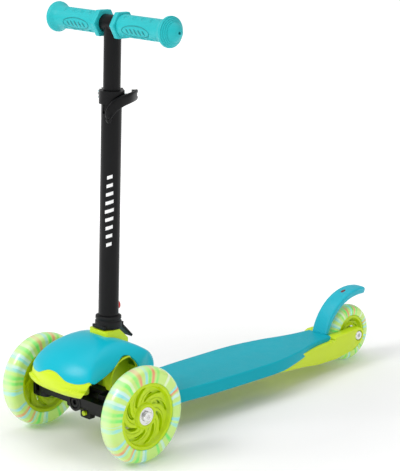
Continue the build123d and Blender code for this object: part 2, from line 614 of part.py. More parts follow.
def chassis():
    """The lime moulding that everything else is built on."""
    neck = side_profile([
        (NECK_FRONT_Y, NOSE_LIFT + 70), (NECK_REAR_Y, NOSE_LIFT + 70),
        (NECK_REAR_Y, NOSE_LIFT + 127), (NECK_REAR_Y - 16, NOSE_LIFT + NECK_TOP_Z),
        (NECK_FRONT_Y, NOSE_LIFT + NECK_TOP_Z)], NECK_HALF_WIDTH)
    neck = fillet(neck.edges().filter_by(Axis.Z), 4)
    spine = block(-SPINE_HALF_WIDTH, SPINE_HALF_WIDTH, SPINE_FRONT_Y, 60,
                  DRIVE_PEG_Z - DRIVE_PEG_RADIUS - 4, NOSE_LIFT + 106)
    beam = block(-30, 30, DECK_FRONT_Y - 4, along(330.0), CHASSIS_FLOOR_Z, DECK_HEIGHT - DECK_PLATE - 0.1)
    body = neck + spine + riser(0) + beam + fork()
    body -= block(-24, 24, DECK_FRONT_Y + 8, along(320.0), CHASSIS_FLOOR_Z - 5, CHASSIS_FLOOR_Z + 10)
    for index in range(5):
        rib_y = DECK_FRONT_Y + 8 + (index + 0.5) * (along(320.0) - DECK_FRONT_Y - 8) / 5
        body += block(-25, 25, rib_y - 1.5, rib_y + 1.5, CHASSIS_FLOOR_Z, CHASSIS_FLOOR_Z + 11)
    body += drive_peg
    body -= STEM * rod_z(LOWER_TUBE_RADIUS + SLIDING, -SOCKET_DEPTH - 0.2, 40)
    body -= rod_y(LEAN_BOLT_RADIUS + SEAT, SPINE_FRONT_Y - 3, SPINE_FRONT_Y + 23, 0, LEAN_AXIS_Z)
    body -= rod_x(FENDER_PIN_RADIUS + SEAT, -40, 40, FENDER_HINGE_Y, FENDER_HINGE_Z)
    body -= block(-FENDER_HALF_WIDTH - GAP, FENDER_HALF_WIDTH + GAP, FENDER_HINGE_Y - 8,
                  FENDER_HINGE_Y + 40, FENDER_HINGE_Z - 6.5, 200)
    for hole in screw_places():
        body -= hole * rod_z(SCREW_RADIUS + SEAT, -5, 40)
    return body


# ---- deck cap and its screws ---------------------------------------------------------------------------
def screw_places():
    """Where the screws come up through the chassis into the deck cap."""
    spots = []
    for share in (0.08, 0.44, 0.8):
        y = DECK_FRONT_Y + 8 + share * (along(320.0) - DECK_FRONT_Y - 8)
        for x in (-27.0, 27.0):
            spots.append(Pos(x, y, CHASSIS_FLOOR_Z))
    return spots


def deck_top():
    """Deck cap with sloping skirts."""
    foot_z = DECK_HEIGHT - DECK_SKIRT
    outer = loft([deck_outline(foot_z, 0), deck_outline(DECK_HEIGHT, 0)])
    hollow = loft([deck_outline(foot_z - 1, DECK_WALL), deck_outline(DECK_HEIGHT - DECK_PLATE, DECK_WALL)])
    cap = outer - hollow
    cap -= riser(GAP)
    cap -= block(-30 - GAP, 30 + GAP, DECK_FRONT_Y - 5, DECK_FRONT_Y + 10, 0, DECK_HEIGHT - DECK_PLATE)
    fork_room = extrude(smooth_plan([(along(y), w + GAP) for y, w in FORK_HALF_WIDTHS], 0),
                        amount=DECK_HEIGHT - 6.0, dir=(0, 0, 1))
    cap -= fork_room
    cap -= rod_x(FENDER_BARREL_RADIUS + 1.0, -60, 60, FENDER_HINGE_Y, FENDER_HINGE_Z)
    for place in screw_places():
        top = place * rod_z(SCREW_RADIUS, 0, DECK_HEIGHT - CHASSIS_FLOOR_Z - 2)
        cap -= top
    return cap


def deck_screws():
    """Six screws with pan heads, from below."""
    length = DECK_HEIGHT - CHASSIS_FLOOR_Z - 2.5
    screws = []
    for place in screw_places():
        shank = rod_z(SCREW_RADIUS, -0.5, length)
        screws.append(place * (shank + rod_z(SCREW_HEAD_RADIUS, -2.2, -0.05)))
    return Compound(screws)


save("chassis", chassis())
save("deck_top", deck_top())
save("deck_screws", deck_screws())

head_z = FORK_HALF_WIDTH - AXLE_HEAD_HEIGHT + 0.05
save("rear_axle_bolt", REAR_WHEEL_PLACE * axle_bolt(head_z, 0.5 - head_z - 3))
axle_nut = extrude(RegularPolygon(AXLE_HEAD_RADIUS, 6), amount=4.5)
axle_nut -= Cylinder(AXLE_RADIUS + SEAT, 20)
save("rear_axle_nut", REAR_WHEEL_PLACE * Pos(0, 0, -head_z - 4.5) * axle_nut)


# ---- brake fender over the rear wheel ---------------------------------------------------------------
def fender_arc(offset):
    """Ends and middle of the fender's outer face, drawn in towards the wheel by an offset."""
    foot = (FENDER_HINGE_Y - 2 + offset, FENDER_HINGE_Z + 1)
    shoulder = (WHEELBASE - 29 + offset * 0.6, DECK_HEIGHT + 40 - offset * 0.8)
    tip = (WHEELBASE + 35 - offset * 0.3, REAR_RADIUS + 61.0 - offset * 0.95)
    return foot, shoulder, tip


def brake_fender():
    """Curved lever that is stepped on to press the pad on the tyre."""
    outer = [(-FENDER_HALF_WIDTH, y, z) for y, z in fender_arc(0.0)]
    inner = [(-FENDER_HALF_WIDTH, y, z) for y, z in fender_arc(FENDER_THICKNESS)]
    outline = make_face([ThreePointArc(*outer), Line(outer[2], inner[2]),
                         ThreePointArc(*reversed(inner)), Line(inner[0], outer[0])])
    fender = extrude(outline, amount=2 * FENDER_HALF_WIDTH, dir=(1, 0, 0))
    fender += rod_x(FENDER_BARREL_RADIUS, -FENDER_HALF_WIDTH, FENDER_HALF_WIDTH,
                    FENDER_HINGE_Y, FENDER_HINGE_Z)
    fender -= rod_x(FENDER_BARREL_RADIUS - 0.5, -6.0, 6.0, FENDER_HINGE_Y, FENDER_HINGE_Z)
    fender -= rod_x(FENDER_PIN_RADIUS + RUNNING, -40, 40, FENDER_HINGE_Y, FENDER_HINGE_Z)
    return fender - brake_pad_block(0.0)


PAD_Y = WHEELBASE - 33.0


def brake_pad_block(margin):
    """Block behind the fender that wears on the tyre."""
    pad = Pos(0, PAD_Y, REAR_RADIUS + 33.0) * Rot(45, 0, 0)
    return pad * Box(14 - 2 * margin, 18 - 2 * margin, 6.0 - 2 * margin)


def fender_spring():
    """Close coils of the spring that lifts the fender off the tyre."""
    coils = []
    for index in range(COIL_COUNT):
        coil = Torus(FENDER_PIN_RADIUS + 1.3, 0.7)
        coils.append(Pos(-4.0 + 1.6 * index, FENDER_HINGE_Y, FENDER_HINGE_Z) * Rot(0, 90, 0) * coil)
    return Compound(coils)


save("brake_fender", brake_fender())
save("brake_pad", brake_pad_block(SEAT))
save("fender_pin", rod_x(FENDER_PIN_RADIUS, -22.0, 22.0, FENDER_HINGE_Y, FENDER_HINGE_Z))
save("fender_spring", fender_spring())


# ---- lower stem: collar, tube, bush and release button ---------------------------------------------------
def stem_collar():
    """Black collar on the foot of the lower tube, seated on the neck."""
    seat_h = NECK_TOP_Z - STEM_DATUM_Z + 0.9
    collar = turned([(LOWER_TUBE_RADIUS + SEAT, seat_h), (COLLAR_RADIUS + 0.4, seat_h),
                     (COLLAR_RADIUS + 0.4, 1.5), (COLLAR_RADIUS - 0.8, 2.4), (COLLAR_RADIUS - 0.8, 4.0),
                     (COLLAR_RADIUS, 4.8), (COLLAR_RADIUS, 7.6), (COLLAR_RADIUS - 1.2, 8.6),
                     (LOWER_TUBE_RADIUS + SEAT, 8.6)])
    foot_y = -LOWER_TUBE_RADIUS - 9.0
    foot = block(-11, 11, foot_y, foot_y + 2.6, -17.5, seat_h + 4)
    foot += block(-11, 11, foot_y, -LOWER_TUBE_RADIUS - 1, seat_h, seat_h + 4)
    tongue = Pos(0, LOWER_TUBE_RADIUS + 11.0, -13.0) * Rot(-45, 0, 0) * Box(16, 27, 3.0)
    tongue += block(-8, 8, LOWER_TUBE_RADIUS + 1, 18, seat_h, seat_h + 5)
    tongue -= rod_z(LOWER_TUBE_RADIUS + SEAT, -60, 60)
    shape = collar + (foot - rod_z(LOWER_TUBE_RADIUS + SEAT, -60, 60)) + tongue
    return shape - rod_y(RELEASE_BUTTON_RADIUS + 1, 0, 40, 0, RELEASE_BUTTON_H)


def lower_tube():
    """Lower stem tube with the guide slot, the clamp's slit and the button's hole."""
    tube = tube_z(LOWER_TUBE_RADIUS, LOWER_TUBE_BORE, -SOCKET_DEPTH, CLAMP_TOP_H)
    button_hole = RELEASE_BUTTON_RADIUS + SLIDING
    tube -= rod_y(button_hole, 0, 40, 0, RELEASE_BUTTON_H)
    slot_middle = SNAP_BUTTON_H + HANDLEBAR_TRAVEL / 2
    slot = SlotCenterToCenter(HANDLEBAR_TRAVEL, 2 * (SNAP_BUTTON_RADIUS + GAP))
    tube -= Pos(0, 30, slot_middle) * Rot(90, 0, 0) * Rot(0, 0, 90) * extrude(slot, amount=30)
    slit_foot = CLAMP_TOP_H - 26.0
    tube -= block(-0.9, 0.9, -40, 0, slit_foot, CLAMP_TOP_H + 1)
    return tube - rod_y(2.0, -40, 0, 0, slit_foot)


BUSH_LENGTH = 40.0


def tube_bush():
    """Plastic sleeve in the lower tube's mouth, in which the upper tube slides."""
    bush = tube_z(LOWER_TUBE_BORE - SEAT, UPPER_TUBE_RADIUS + SLIDING,
                  CLAMP_TOP_H - BUSH_LENGTH, CLAMP_TOP_H)
    return bush - block(-1.2, 1.2, -40, 0, CLAMP_TOP_H - BUSH_LENGTH - 1, CLAMP_TOP_H + 1)


def release_button():
    """Red button that frees the stem from the neck."""
    length = LOWER_TUBE_RADIUS + BUTTON_TRAVEL + 0.3 - 4.0
    button = rod_y(RELEASE_BUTTON_RADIUS, 4.0, 4.0 + length, 0, RELEASE_BUTTON_H)
    button = fillet(button.faces().sort_by(Axis.Y)[-1].edges(), 0.8)
    button += rod_y(RELEASE_BUTTON_RADIUS + 1.5, 4.0, 6.5, 0, RELEASE_BUTTON_H)
    return button - rod_y(3.5, 3.0, 11.0, 0, RELEASE_BUTTON_H)


def release_spring():
    """Coils behind the release button."""
    coils = [Pos(0, -8.0 + 3.0 * step, RELEASE_BUTTON_H) * Rot(90, 0, 0) * Torus(2.6, 0.5)
             for step in range(COIL_COUNT)]
    return Compound(coils)


save("stem_collar", STEM * stem_collar())
save("lower_tube", STEM * lower_tube())
save("tube_bush", STEM * tube_bush())
save("release_button", STEM * release_button())
save("release_spring", STEM * release_spring())


# ---- quick-release clamp ------------------------------------------------------------------------------------
WASHER_WIDTH = 1.6
LEVER_INNER_RADIUS = LOWER_TUBE_RADIUS + CLAMP_WALL + 2.5
LEVER_OUTER_RADIUS = LEVER_INNER_RADIUS + 5.0


def clamp_collar():
    """Split band with two ears."""
    band = tube_z(LOWER_TUBE_RADIUS + CLAMP_WALL, LOWER_TUBE_RADIUS + SEAT,
                  CLAMP_TOP_H - CLAMP_WIDTH, CLAMP_TOP_H)
    ears = block(-EAR_OUTER_X, EAR_OUTER_X, LOWER_TUBE_RADIUS - 2, CLAMP_BOLT_Y + 6,
                 CLAMP_TOP_H - CLAMP_WIDTH, CLAMP_TOP_H)
    ears = fillet(ears.edges().filter_by(Axis.X), 3)
    ears -= rod_z(LOWER_TUBE_RADIUS + SEAT, CLAMP_TOP_H - 40, CLAMP_TOP_H + 5)
    band += ears
    band -= block(-CLAMP_SLIT / 2, CLAMP_SLIT / 2, 0, 60, CLAMP_TOP_H - 40, CLAMP_TOP_H + 5)
    return band - rod_x(CLAMP_BOLT_RADIUS + SEAT, -40, 40, CLAMP_BOLT_Y, CLAMP_MIDDLE_H)


def clamp_nut():
    """Round nut with stepped flanges."""
    start = -EAR_OUTER_X - 0.05
    nut = rod_x(8.0, start - 1.6, start, CLAMP_BOLT_Y, CLAMP_MIDDLE_H)
    nut += rod_x(6.6, start - 3.6, start - 1.5, CLAMP_BOLT_Y, CLAMP_MIDDLE_H)
    nut += rod_x(5.0, start - 5.2, start - 3.5, CLAMP_BOLT_Y, CLAMP_MIDDLE_H)
    return nut - rod_x(CLAMP_BOLT_RADIUS + SEAT, -60, 0, CLAMP_BOLT_Y, CLAMP_MIDDLE_H)


def clamp_washer():
    """Hard washer that the lever's cam bears on."""
    start = EAR_OUTER_X + 0.05
    washer = rod_x(7.0, start, start + WASHER_WIDTH, CLAMP_BOLT_Y, CLAMP_MIDDLE_H)
    return washer - rod_x(CLAMP_BOLT_RADIUS + SEAT, 0, 60, CLAMP_BOLT_Y, CLAMP_MIDDLE_H)


def clamp_bolt():
    """Cross bolt with an eye for the lever's pin."""
    bolt = rod_x(CLAMP_BOLT_RADIUS, -EAR_OUTER_X - 5.2, LEVER_PIN_X, CLAMP_BOLT_Y, CLAMP_MIDDLE_H)
    bolt += rod_z(4.4, CLAMP_MIDDLE_H - 2.4, CLAMP_MIDDLE_H + 2.4, LEVER_PIN_X, CLAMP_BOLT_Y)
    return bolt - rod_z(LEVER_PIN_RADIUS + SEAT, 0, 400, LEVER_PIN_X, CLAMP_BOLT_Y)


def lever_pin():
    """Pin through the lever's fork and the bolt's eye."""
    half = LEVER_HEIGHT / 2 + 0.3
    return rod_z(LEVER_PIN_RADIUS, CLAMP_MIDDLE_H - half, CLAMP_MIDDLE_H + half,
                 LEVER_PIN_X, CLAMP_BOLT_Y)


def clamp_lever():
    """Cam lever, closed round the camming side of the stem and drooping to its tip."""
    half = LEVER_HEIGHT / 2
    low = CLAMP_MIDDLE_H - half
    high = CLAMP_MIDDLE_H + half
    cam_radius = LEVER_PIN_X - EAR_OUTER_X - WASHER_WIDTH - GAP
    lever = rod_z(cam_radius, low, high, LEVER_PIN_X, CLAMP_BOLT_Y)
    arm = tube_z(LEVER_OUTER_RADIUS, LEVER_INNER_RADIUS, low - 30, high)
    arm &= prism([(-3, -60), (60, -60), (60, 6), (-3, 6)], low - 31, high + 1)
    neck = prism([(LEVER_INNER_RADIUS + 0.5, 0), (LEVER_OUTER_RADIUS, 0),
                  (LEVER_PIN_X + cam_radius - 1, CLAMP_BOLT_Y), (LEVER_PIN_X - 2, CLAMP_BOLT_Y - 3)],
                 low, high)
    droop = Plane(origin=(0, 0, low - 20), x_dir=(1, 0, 0.62), z_dir=(-0.62, -0.3, 1))
    top_droop = Plane(origin=(0, 0, high - 17), x_dir=(1, 0, 0.95), z_dir=(-0.95, -0.2, 1))
    arm = split(arm, bisect_by=droop, keep=Keep.TOP)
    arm = split(arm, bisect_by=top_droop, keep=Keep.BOTTOM)
    lever = lever + neck + (arm & rod_z(60, low - 30, high))
    slot_turn = Pos(LEVER_PIN_X, CLAMP_BOLT_Y, CLAMP_MIDDLE_H)
    lever -= slot_turn * tube_z(cam_radius + 20, 0.01, -2.8, 2.8) & lever_slot_room()
    lever -= rod_z(LEVER_PIN_RADIUS + RUNNING, 0, 400, LEVER_PIN_X, CLAMP_BOLT_Y)
    return lever


def lever_slot_room():
    """Sector in which the bolt's eye needs room as the lever swings."""
    return block(LEVER_PIN_X - 30, LEVER_PIN_X + 30, CLAMP_BOLT_Y - 5.5, CLAMP_BOLT_Y + 30,
                 CLAMP_MIDDLE_H - 2.8, CLAMP_MIDDLE_H + 2.8)


save("clamp_collar", CLAMP * clamp_collar())
save("clamp_nut", CLAMP * clamp_nut())
save("clamp_washer", CLAMP * clamp_washer())
save("clamp_bolt", CLAMP * clamp_bolt())
save("lever_pin", CLAMP * lever_pin())
save("clamp_lever", CLAMP * clamp_lever())


# ---- handlebar ------------------------------------------------------------------------------------------------
def handlebar():
    """Upper stem tube with the crossbar welded on top."""
    bar = rod_z(UPPER_TUBE_RADIUS, HANDLEBAR_HEIGHT - UPPER_TUBE_LENGTH, HANDLEBAR_HEIGHT)
    bar += rod_x(CROSSBAR_RADIUS, -CROSSBAR_HALF_LENGTH, CROSSBAR_HALF_LENGTH, 0, HANDLEBAR_HEIGHT)
    bar -= rod_z(UPPER_TUBE_BORE, -100, HANDLEBAR_HEIGHT - UPPER_TUBE_BORE)
    bar -= rod_x(CROSSBAR_RADIUS - UPPER_TUBE_WALL, -200, 200, 0, HANDLEBAR_HEIGHT)
    return bar - rod_y(SNAP_BUTTON_RADIUS + SLIDING, 0, 40, 0, SNAP_BUTTON_H)


def grip():
    """Rubber grip with a six-sided inner flange and a stepped mushroom end, along +Z."""
    end = HANDLEBAR_HALF_WIDTH
    start = GRIP_START + GRIP_HEX_WIDTH
    body = turned([
        (CROSSBAR_RADIUS + SEAT, start - 1), (GRIP_RADIUS, start - 1), (GRIP_RADIUS, end - 24),
        (GRIP_FLANGE_RADIUS - 1.5, end - 19), (GRIP_FLANGE_RADIUS, end - 17),
        (GRIP_FLANGE_RADIUS - 0.6, end - 14), (GRIP_FLANGE_RADIUS - 2.2, end - 14),
        (GRIP_FLANGE_RADIUS - 2.6, end - 11.5), (GRIP_FLANGE_RADIUS - 4.2, end - 11.5),
        (GRIP_FLANGE_RADIUS - 4.6, end - 9.2), (GRIP_FLANGE_RADIUS - 6.2, end - 9.2),
        (GRIP_FLANGE_RADIUS - 6.6, end - 7.0), (GRIP_FLANGE_RADIUS - 9.2, end - 3.6),
        (5.5, end - 0.9), (1.8, end), (1.8, end - GRIP_END_LENGTH + 1),
        (CROSSBAR_RADIUS + SEAT, end - GRIP_END_LENGTH + 1)])
    flange = Pos(0, 0, GRIP_START) * extrude(RegularPolygon(GRIP_HEX_RADIUS, 6), amount=GRIP_HEX_WIDTH)
    flange -= rod_z(CROSSBAR_RADIUS + SEAT, -5, 40)
    body += flange
    for index in range(4):
        z = start + 14 + index * 16
        for turn in (90, 210, 330):
            dimple = Pos((GRIP_RADIUS + 4.2) * cos(radians(turn)), (GRIP_RADIUS + 4.2) * sin(radians(turn)), z)
            body -= dimple * Rot(0, 0, turn) * Rot(90, 0, 0) * Cylinder(5.4, 12)
    return body


def snap_button():
    """Sprung steel button that rides in the lower tube's guide slot."""
    reach = LOWER_TUBE_RADIUS + BUTTON_TRAVEL
    button = rod_y(SNAP_BUTTON_RADIUS, 5.0, reach, 0, SNAP_BUTTON_H)
    button = fillet(button.faces().sort_by(Axis.Y)[-1].edges(), SNAP_BUTTON_RADIUS * 0.8)
    return button + rod_y(SNAP_BUTTON_RADIUS + 1.2, 5.0, 6.4, 0, SNAP_BUTTON_H)


def snap_spring():
    """Coils that hold the snap button out."""
    coils = [Pos(0, -7.6 + 1.85 * step, SNAP_BUTTON_H) * Rot(90, 0, 0) * Torus(2.4, 0.45)
             for step in range(COIL_COUNT)]
    return Compound(coils)


grip_place = STEM * Pos(0, 0, HANDLEBAR_HEIGHT)
save("handlebar_tube", STEM * handlebar())
save("left_grip", grip_place * Rot(0, 90, 0) * grip())
save("right_grip", grip_place * Rot(0, -90, 0) * grip())
save("snap_button", STEM * snap_button())
save("snap_spring", STEM * snap_spring())
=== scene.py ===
"""Finished look of a child's lean-to-steer kick scooter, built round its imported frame.

Sizes are in millimetres, measured from the middle of the front axle on the floor, and mm() turns
them into metres in the frame. The front of the scooter is towards -Y and the rider's left is +X.
"""
import json
from math import atan2, cos, degrees, exp, log, pi, radians, sin, sqrt

import bpy
from bpy.props import FloatProperty, FloatVectorProperty, PointerProperty
from mathutils import Matrix, Vector


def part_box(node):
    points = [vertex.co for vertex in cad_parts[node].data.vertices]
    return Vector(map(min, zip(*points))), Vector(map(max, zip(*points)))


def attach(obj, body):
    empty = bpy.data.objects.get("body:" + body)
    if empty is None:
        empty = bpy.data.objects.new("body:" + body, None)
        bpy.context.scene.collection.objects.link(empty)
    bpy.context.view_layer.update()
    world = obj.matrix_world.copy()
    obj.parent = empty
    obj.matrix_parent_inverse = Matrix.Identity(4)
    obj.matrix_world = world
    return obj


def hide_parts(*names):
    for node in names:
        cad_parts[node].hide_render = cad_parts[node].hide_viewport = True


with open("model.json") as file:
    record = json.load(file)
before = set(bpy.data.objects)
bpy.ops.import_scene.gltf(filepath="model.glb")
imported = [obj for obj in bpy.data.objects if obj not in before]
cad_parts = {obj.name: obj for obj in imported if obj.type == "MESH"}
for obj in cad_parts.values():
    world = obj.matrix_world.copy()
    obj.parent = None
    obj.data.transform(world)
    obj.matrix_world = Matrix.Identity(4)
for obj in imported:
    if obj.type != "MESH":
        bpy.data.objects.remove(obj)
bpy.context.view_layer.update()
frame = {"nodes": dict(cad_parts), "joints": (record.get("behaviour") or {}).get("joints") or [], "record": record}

bl_info = {
    "name": "Kick Scooter",
    "version": (1, 0, 0),
    "blender": (4, 5, 0),
    "location": "View3D > Sidebar > Scooter",
    "description": "Builds the finished pieces of a child's kick scooter round its frame",
    "category": "Object",
}

MM = 0.001


# ---- where things are, read from the frame ----
def middle(node):
    """Middle of a node's box, in metres."""
    low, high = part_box(node)
    return (low + high) / 2


AXLE_Y = middle("left_tyre").y
FRONT_RADIUS = middle("left_tyre").z / MM
REAR_AXLE = middle("rear_tyre")
TRACK_HALF = middle("left_tyre").x
BAR_TOP_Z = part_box("handlebar_tube")[1].z
STEM_AXIS = Vector(next(j["axis"] for j in frame["joints"] if j["name"] == "handlebar_height"))
STEM_FOOT_Z = 150.0


def mm(x, y, z):
    """Point in the frame, from millimetres measured from the front axle."""
    return Vector((x * MM, AXLE_Y + y * MM, z * MM))


def stem_place(height, turn=0.0):
    """Frame of the stem at a height above the collar, turned about the stem's line."""
    lean = atan2(STEM_AXIS.y, STEM_AXIS.z)
    foot = Matrix.Translation(mm(0, 30.1, STEM_FOOT_Z))
    return (foot @ Matrix.Rotation(-lean, 4, "X") @ Matrix.Rotation(radians(turn), 4, "Z")
            @ Matrix.Translation((0, 0, height * MM)))


# ---- modelling helpers ----
def clear_selection():
    """Leave edit mode and drop the selection, so that an operator acts on new work only."""
    if bpy.context.object and bpy.context.object.mode != "OBJECT":
        bpy.ops.object.mode_set(mode="OBJECT")
    bpy.ops.object.select_all(action="DESELECT")


def pick(piece):
    """Make one piece the only one selected, and the active one."""
    clear_selection()
    bpy.context.view_layer.objects.active = piece
    piece.select_set(True)


def edit(piece):
    """Open one piece for editing with all of it selected."""
    pick(piece)
    bpy.ops.object.mode_set(mode="EDIT")
    bpy.ops.mesh.select_mode(type="VERT")
    bpy.ops.mesh.select_all(action="SELECT")


def tidy_mesh(piece, gap=0.02):
    """Merge doubled points and point every face outwards."""
    edit(piece)
    bpy.ops.mesh.remove_doubles(threshold=gap * MM)
    bpy.ops.mesh.normals_make_consistent(inside=False)
    bpy.ops.object.mode_set(mode="OBJECT")


def modify(piece, kind, **settings):
    """Add a modifier, give it its settings and apply it."""
    pick(piece)
    modifier = piece.modifiers.new(kind.lower(), kind)
    for key, value in settings.items():
        setattr(modifier, key, value)
    bpy.ops.object.modifier_apply(modifier=modifier.name)


def shaped_grid(name, columns, rows, point):
    """Grid whose points are laid on the surface point(u, v), with u and v from 0 to 1."""
    clear_selection()
    bpy.ops.mesh.primitive_grid_add(x_subdivisions=columns, y_subdivisions=rows, size=1)
    piece = bpy.context.object
    piece.name = name
    for vertex in piece.data.vertices:
        vertex.co = point(vertex.co.x + 0.5, vertex.co.y + 0.5)
    tidy_mesh(piece)
    return piece


def lathe(name, outline, steps=96):
    """Closed outline of (radius, height) spun about Z, in millimetres."""
    clear_selection()
    bpy.ops.mesh.primitive_circle_add(vertices=len(outline), radius=0.01)
    piece = bpy.context.object
    piece.name = name
    for vertex, (radius, height) in zip(piece.data.vertices, outline):
        vertex.co = (radius * MM, 0, height * MM)
    edit(piece)
    bpy.ops.mesh.spin(steps=steps, angle=2 * pi, center=(0, 0, 0), axis=(0, 0, 1))
    tidy_mesh(piece)
    return piece


def put(piece, matrix):
    """Move a piece that was made at the origin to its place, and keep the place in its mesh."""
    pick(piece)
    piece.matrix_world = matrix
    bpy.ops.object.transform_apply(location=True, rotation=True, scale=True)


def thicken(piece, thickness):
    """Give a skin a wall on its inner side, in millimetres."""
    modify(piece, "SOLIDIFY", thickness=thickness * MM, offset=-1)


def soften(piece, width, sharpest, segments=2):
    """Bevel the edges that turn by more than an angle, by a width in millimetres."""
    modify(piece, "BEVEL", width=width * MM, segments=segments, limit_method="ANGLE",
           angle_limit=radians(sharpest))


def cut(piece, tool):
    """Take one solid away from another."""
    modify(piece, "BOOLEAN", operation="DIFFERENCE", object=tool, solver="EXACT")
    bpy.data.objects.remove(tool)


def join(pieces, name):
    """Make several meshes one piece."""
    clear_selection()
    for piece in pieces:
        piece.select_set(True)
    bpy.context.view_layer.objects.active = pieces[0]
    bpy.ops.object.join()
    pieces[0].name = name
    return pieces[0]


def smooth_through(knots, x):
    """Smooth value at x of a curve through (x, value) knots."""
    if x <= knots[0][0]:
        return knots[0][1]
    if x >= knots[-1][0]:
        return knots[-1][1]
    index = max(i for i, knot in enumerate(knots) if knot[0] <= x)
    (x0, y0), (x1, y1) = knots[index], knots[index + 1]
    before = knots[max(index - 1, 0)]
    after = knots[min(index + 2, len(knots) - 1)]
    slope0 = (y1 - before[1]) / (x1 - before[0])
    slope1 = (after[1] - y0) / (after[0] - x0)
    t = (x - x0) / (x1 - x0)
    span = x1 - x0
    return ((2 * t**3 - 3 * t**2 + 1) * y0 + (t**3 - 2 * t**2 + t) * span * slope0
            + (3 * t**2 - 2 * t**3) * y1 + (t**3 - t**2) * span * slope1)


def mount(piece, body, slot, material, *nodes, angle=35.0):
    """Finish a piece: smooth shading, its material, its body and the nodes it stands for."""
    pick(piece)
    bpy.ops.object.shade_smooth_by_angle(angle=radians(angle))
    piece.data.materials.clear()
    piece.data.materials.append(material)
    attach(piece, body)
    if nodes:
        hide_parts(*nodes)


# ---- shared shader groups ----
def new_group(name, inputs, outputs):
    """Empty shader group with named float and colour sockets."""
    group = bpy.data.node_groups.new(name, "ShaderNodeTree")
    for label, kind, default in inputs:
        socket = group.interface.new_socket(label, in_out="INPUT", socket_type=kind)
        socket.default_value = default
    for label, kind in outputs:
        group.interface.new_socket(label, in_out="OUTPUT", socket_type=kind)
    return group, group.nodes.new("NodeGroupInput"), group.nodes.new("NodeGroupOutput")


def math_node(tree, operation, first, second=None, third=None):
    """Math node whose inputs are numbers or sockets; returns its output."""
    node = tree.nodes.new("ShaderNodeMath")
    node.operation = operation
    for socket, value in zip(node.inputs, (first, second, third)):
        if value is None:
            continue
        if isinstance(value, (int, float)):
            socket.default_value = value
        else:
            tree.links.new(value, socket)
    return node.outputs[0]


def noise_node(tree, coordinates, scale, detail=3.0, roughness=0.5):
    """Noise texture on the given coordinates; scale is a number or a socket."""
    node = tree.nodes.new("ShaderNodeTexNoise")
    tree.links.new(coordinates, node.inputs["Vector"])
    if isinstance(scale, (int, float)):
        node.inputs["Scale"].default_value = scale
    else:
        tree.links.new(scale, node.inputs["Scale"])
    node.inputs["Detail"].default_value = detail
    node.inputs["Roughness"].default_value = roughness
    return node.outputs["Fac"]


def shader_material(name):
    """New material, with its node tree and its shader."""
    material = bpy.data.materials.new(name)
    material.use_nodes = True
    return material, material.node_tree, material.node_tree.nodes["Principled BSDF"]


def object_place(tree):
    """Object coordinates as a socket."""
    return tree.nodes.new("ShaderNodeTexCoord").outputs["Object"]


def split_vector(tree, vector):
    """X, Y and Z sockets of a vector."""
    split = tree.nodes.new("ShaderNodeSeparateXYZ")
    tree.links.new(vector, split.inputs[0])
    return split.outputs


def round_centre(tree, centre):
    """Coordinates taken from a centre, their X, Y and Z, and the angle round X."""
    shift = tree.nodes.new("ShaderNodeMapping")
    shift.inputs["Location"].default_value = (0, -centre.y, -centre.z)
    tree.links.new(object_place(tree), shift.inputs["Vector"])
    parts = split_vector(tree, shift.outputs["Vector"])
    return shift.outputs["Vector"], parts, math_node(tree, "ARCTAN2", parts["Z"], parts["Y"])


def map_range(tree, value, low, high):
    """Node that maps low to high on to 0 to 1."""
    node = tree.nodes.new("ShaderNodeMapRange")
    node.inputs["From Min"].default_value = low
    node.inputs["From Max"].default_value = high
    tree.links.new(value, node.inputs["Value"])
    return node


def blend(tree, factor):
    """Colour mix node with its factor linked."""
    node = tree.nodes.new("ShaderNodeMix")
    node.data_type = "RGBA"
    tree.links.new(factor, node.inputs["Factor"])
    return node


def raise_pattern(tree, height, strength, distance):
    """Lay a coarser bump over the fine grain of a grouped material."""
    fine = next(node for node in tree.nodes if node.type == "BUMP")
    bump = tree.nodes.new("ShaderNodeBump")
    bump.inputs["Strength"].default_value = strength
    bump.inputs["Distance"].default_value = distance
    tree.links.new(height, bump.inputs["Height"])
    tree.links.new(fine.outputs["Normal"], bump.inputs["Normal"])
    tree.links.new(bump.outputs["Normal"], tree.nodes["Principled BSDF"].inputs["Normal"])


def moulded_group():
    """Fine mould grain with a slow drift of tone: colour, roughness and height."""
    group, inward, outward = new_group(
        "moulded_surface",
        [("Color", "NodeSocketColor", (1, 1, 1, 1)), ("Grain", "NodeSocketFloat", 1500.0),
         ("Drift", "NodeSocketFloat", 0.06), ("Roughness", "NodeSocketFloat", 0.4)],
        [("Color", "NodeSocketColor"), ("Roughness", "NodeSocketFloat"), ("Height", "NodeSocketFloat")])
    where = object_place(group)
    slow = noise_node(group, where, 14.0, 2.0)
    drift = math_node(group, "MULTIPLY", math_node(group, "SUBTRACT", slow, 0.5), inward.outputs["Drift"])
    value = math_node(group, "ADD", 1.0, math_node(group, "MULTIPLY", drift, 2.0))
    shade = group.nodes.new("ShaderNodeHueSaturation")
    group.links.new(inward.outputs["Color"], shade.inputs["Color"])
    group.links.new(value, shade.inputs["Value"])
    fine = noise_node(group, where, inward.outputs["Grain"], 2.0)
    scuffs = noise_node(group, where, 60.0, 6.0, 0.7)
    rough = math_node(group, "MULTIPLY_ADD", math_node(group, "SUBTRACT", scuffs, 0.5), 0.25,
                      inward.outputs["Roughness"])
    group.links.new(shade.outputs["Color"], outward.inputs["Color"])
    group.links.new(rough, outward.inputs["Roughness"])
    group.links.new(fine, outward.inputs["Height"])
    return group


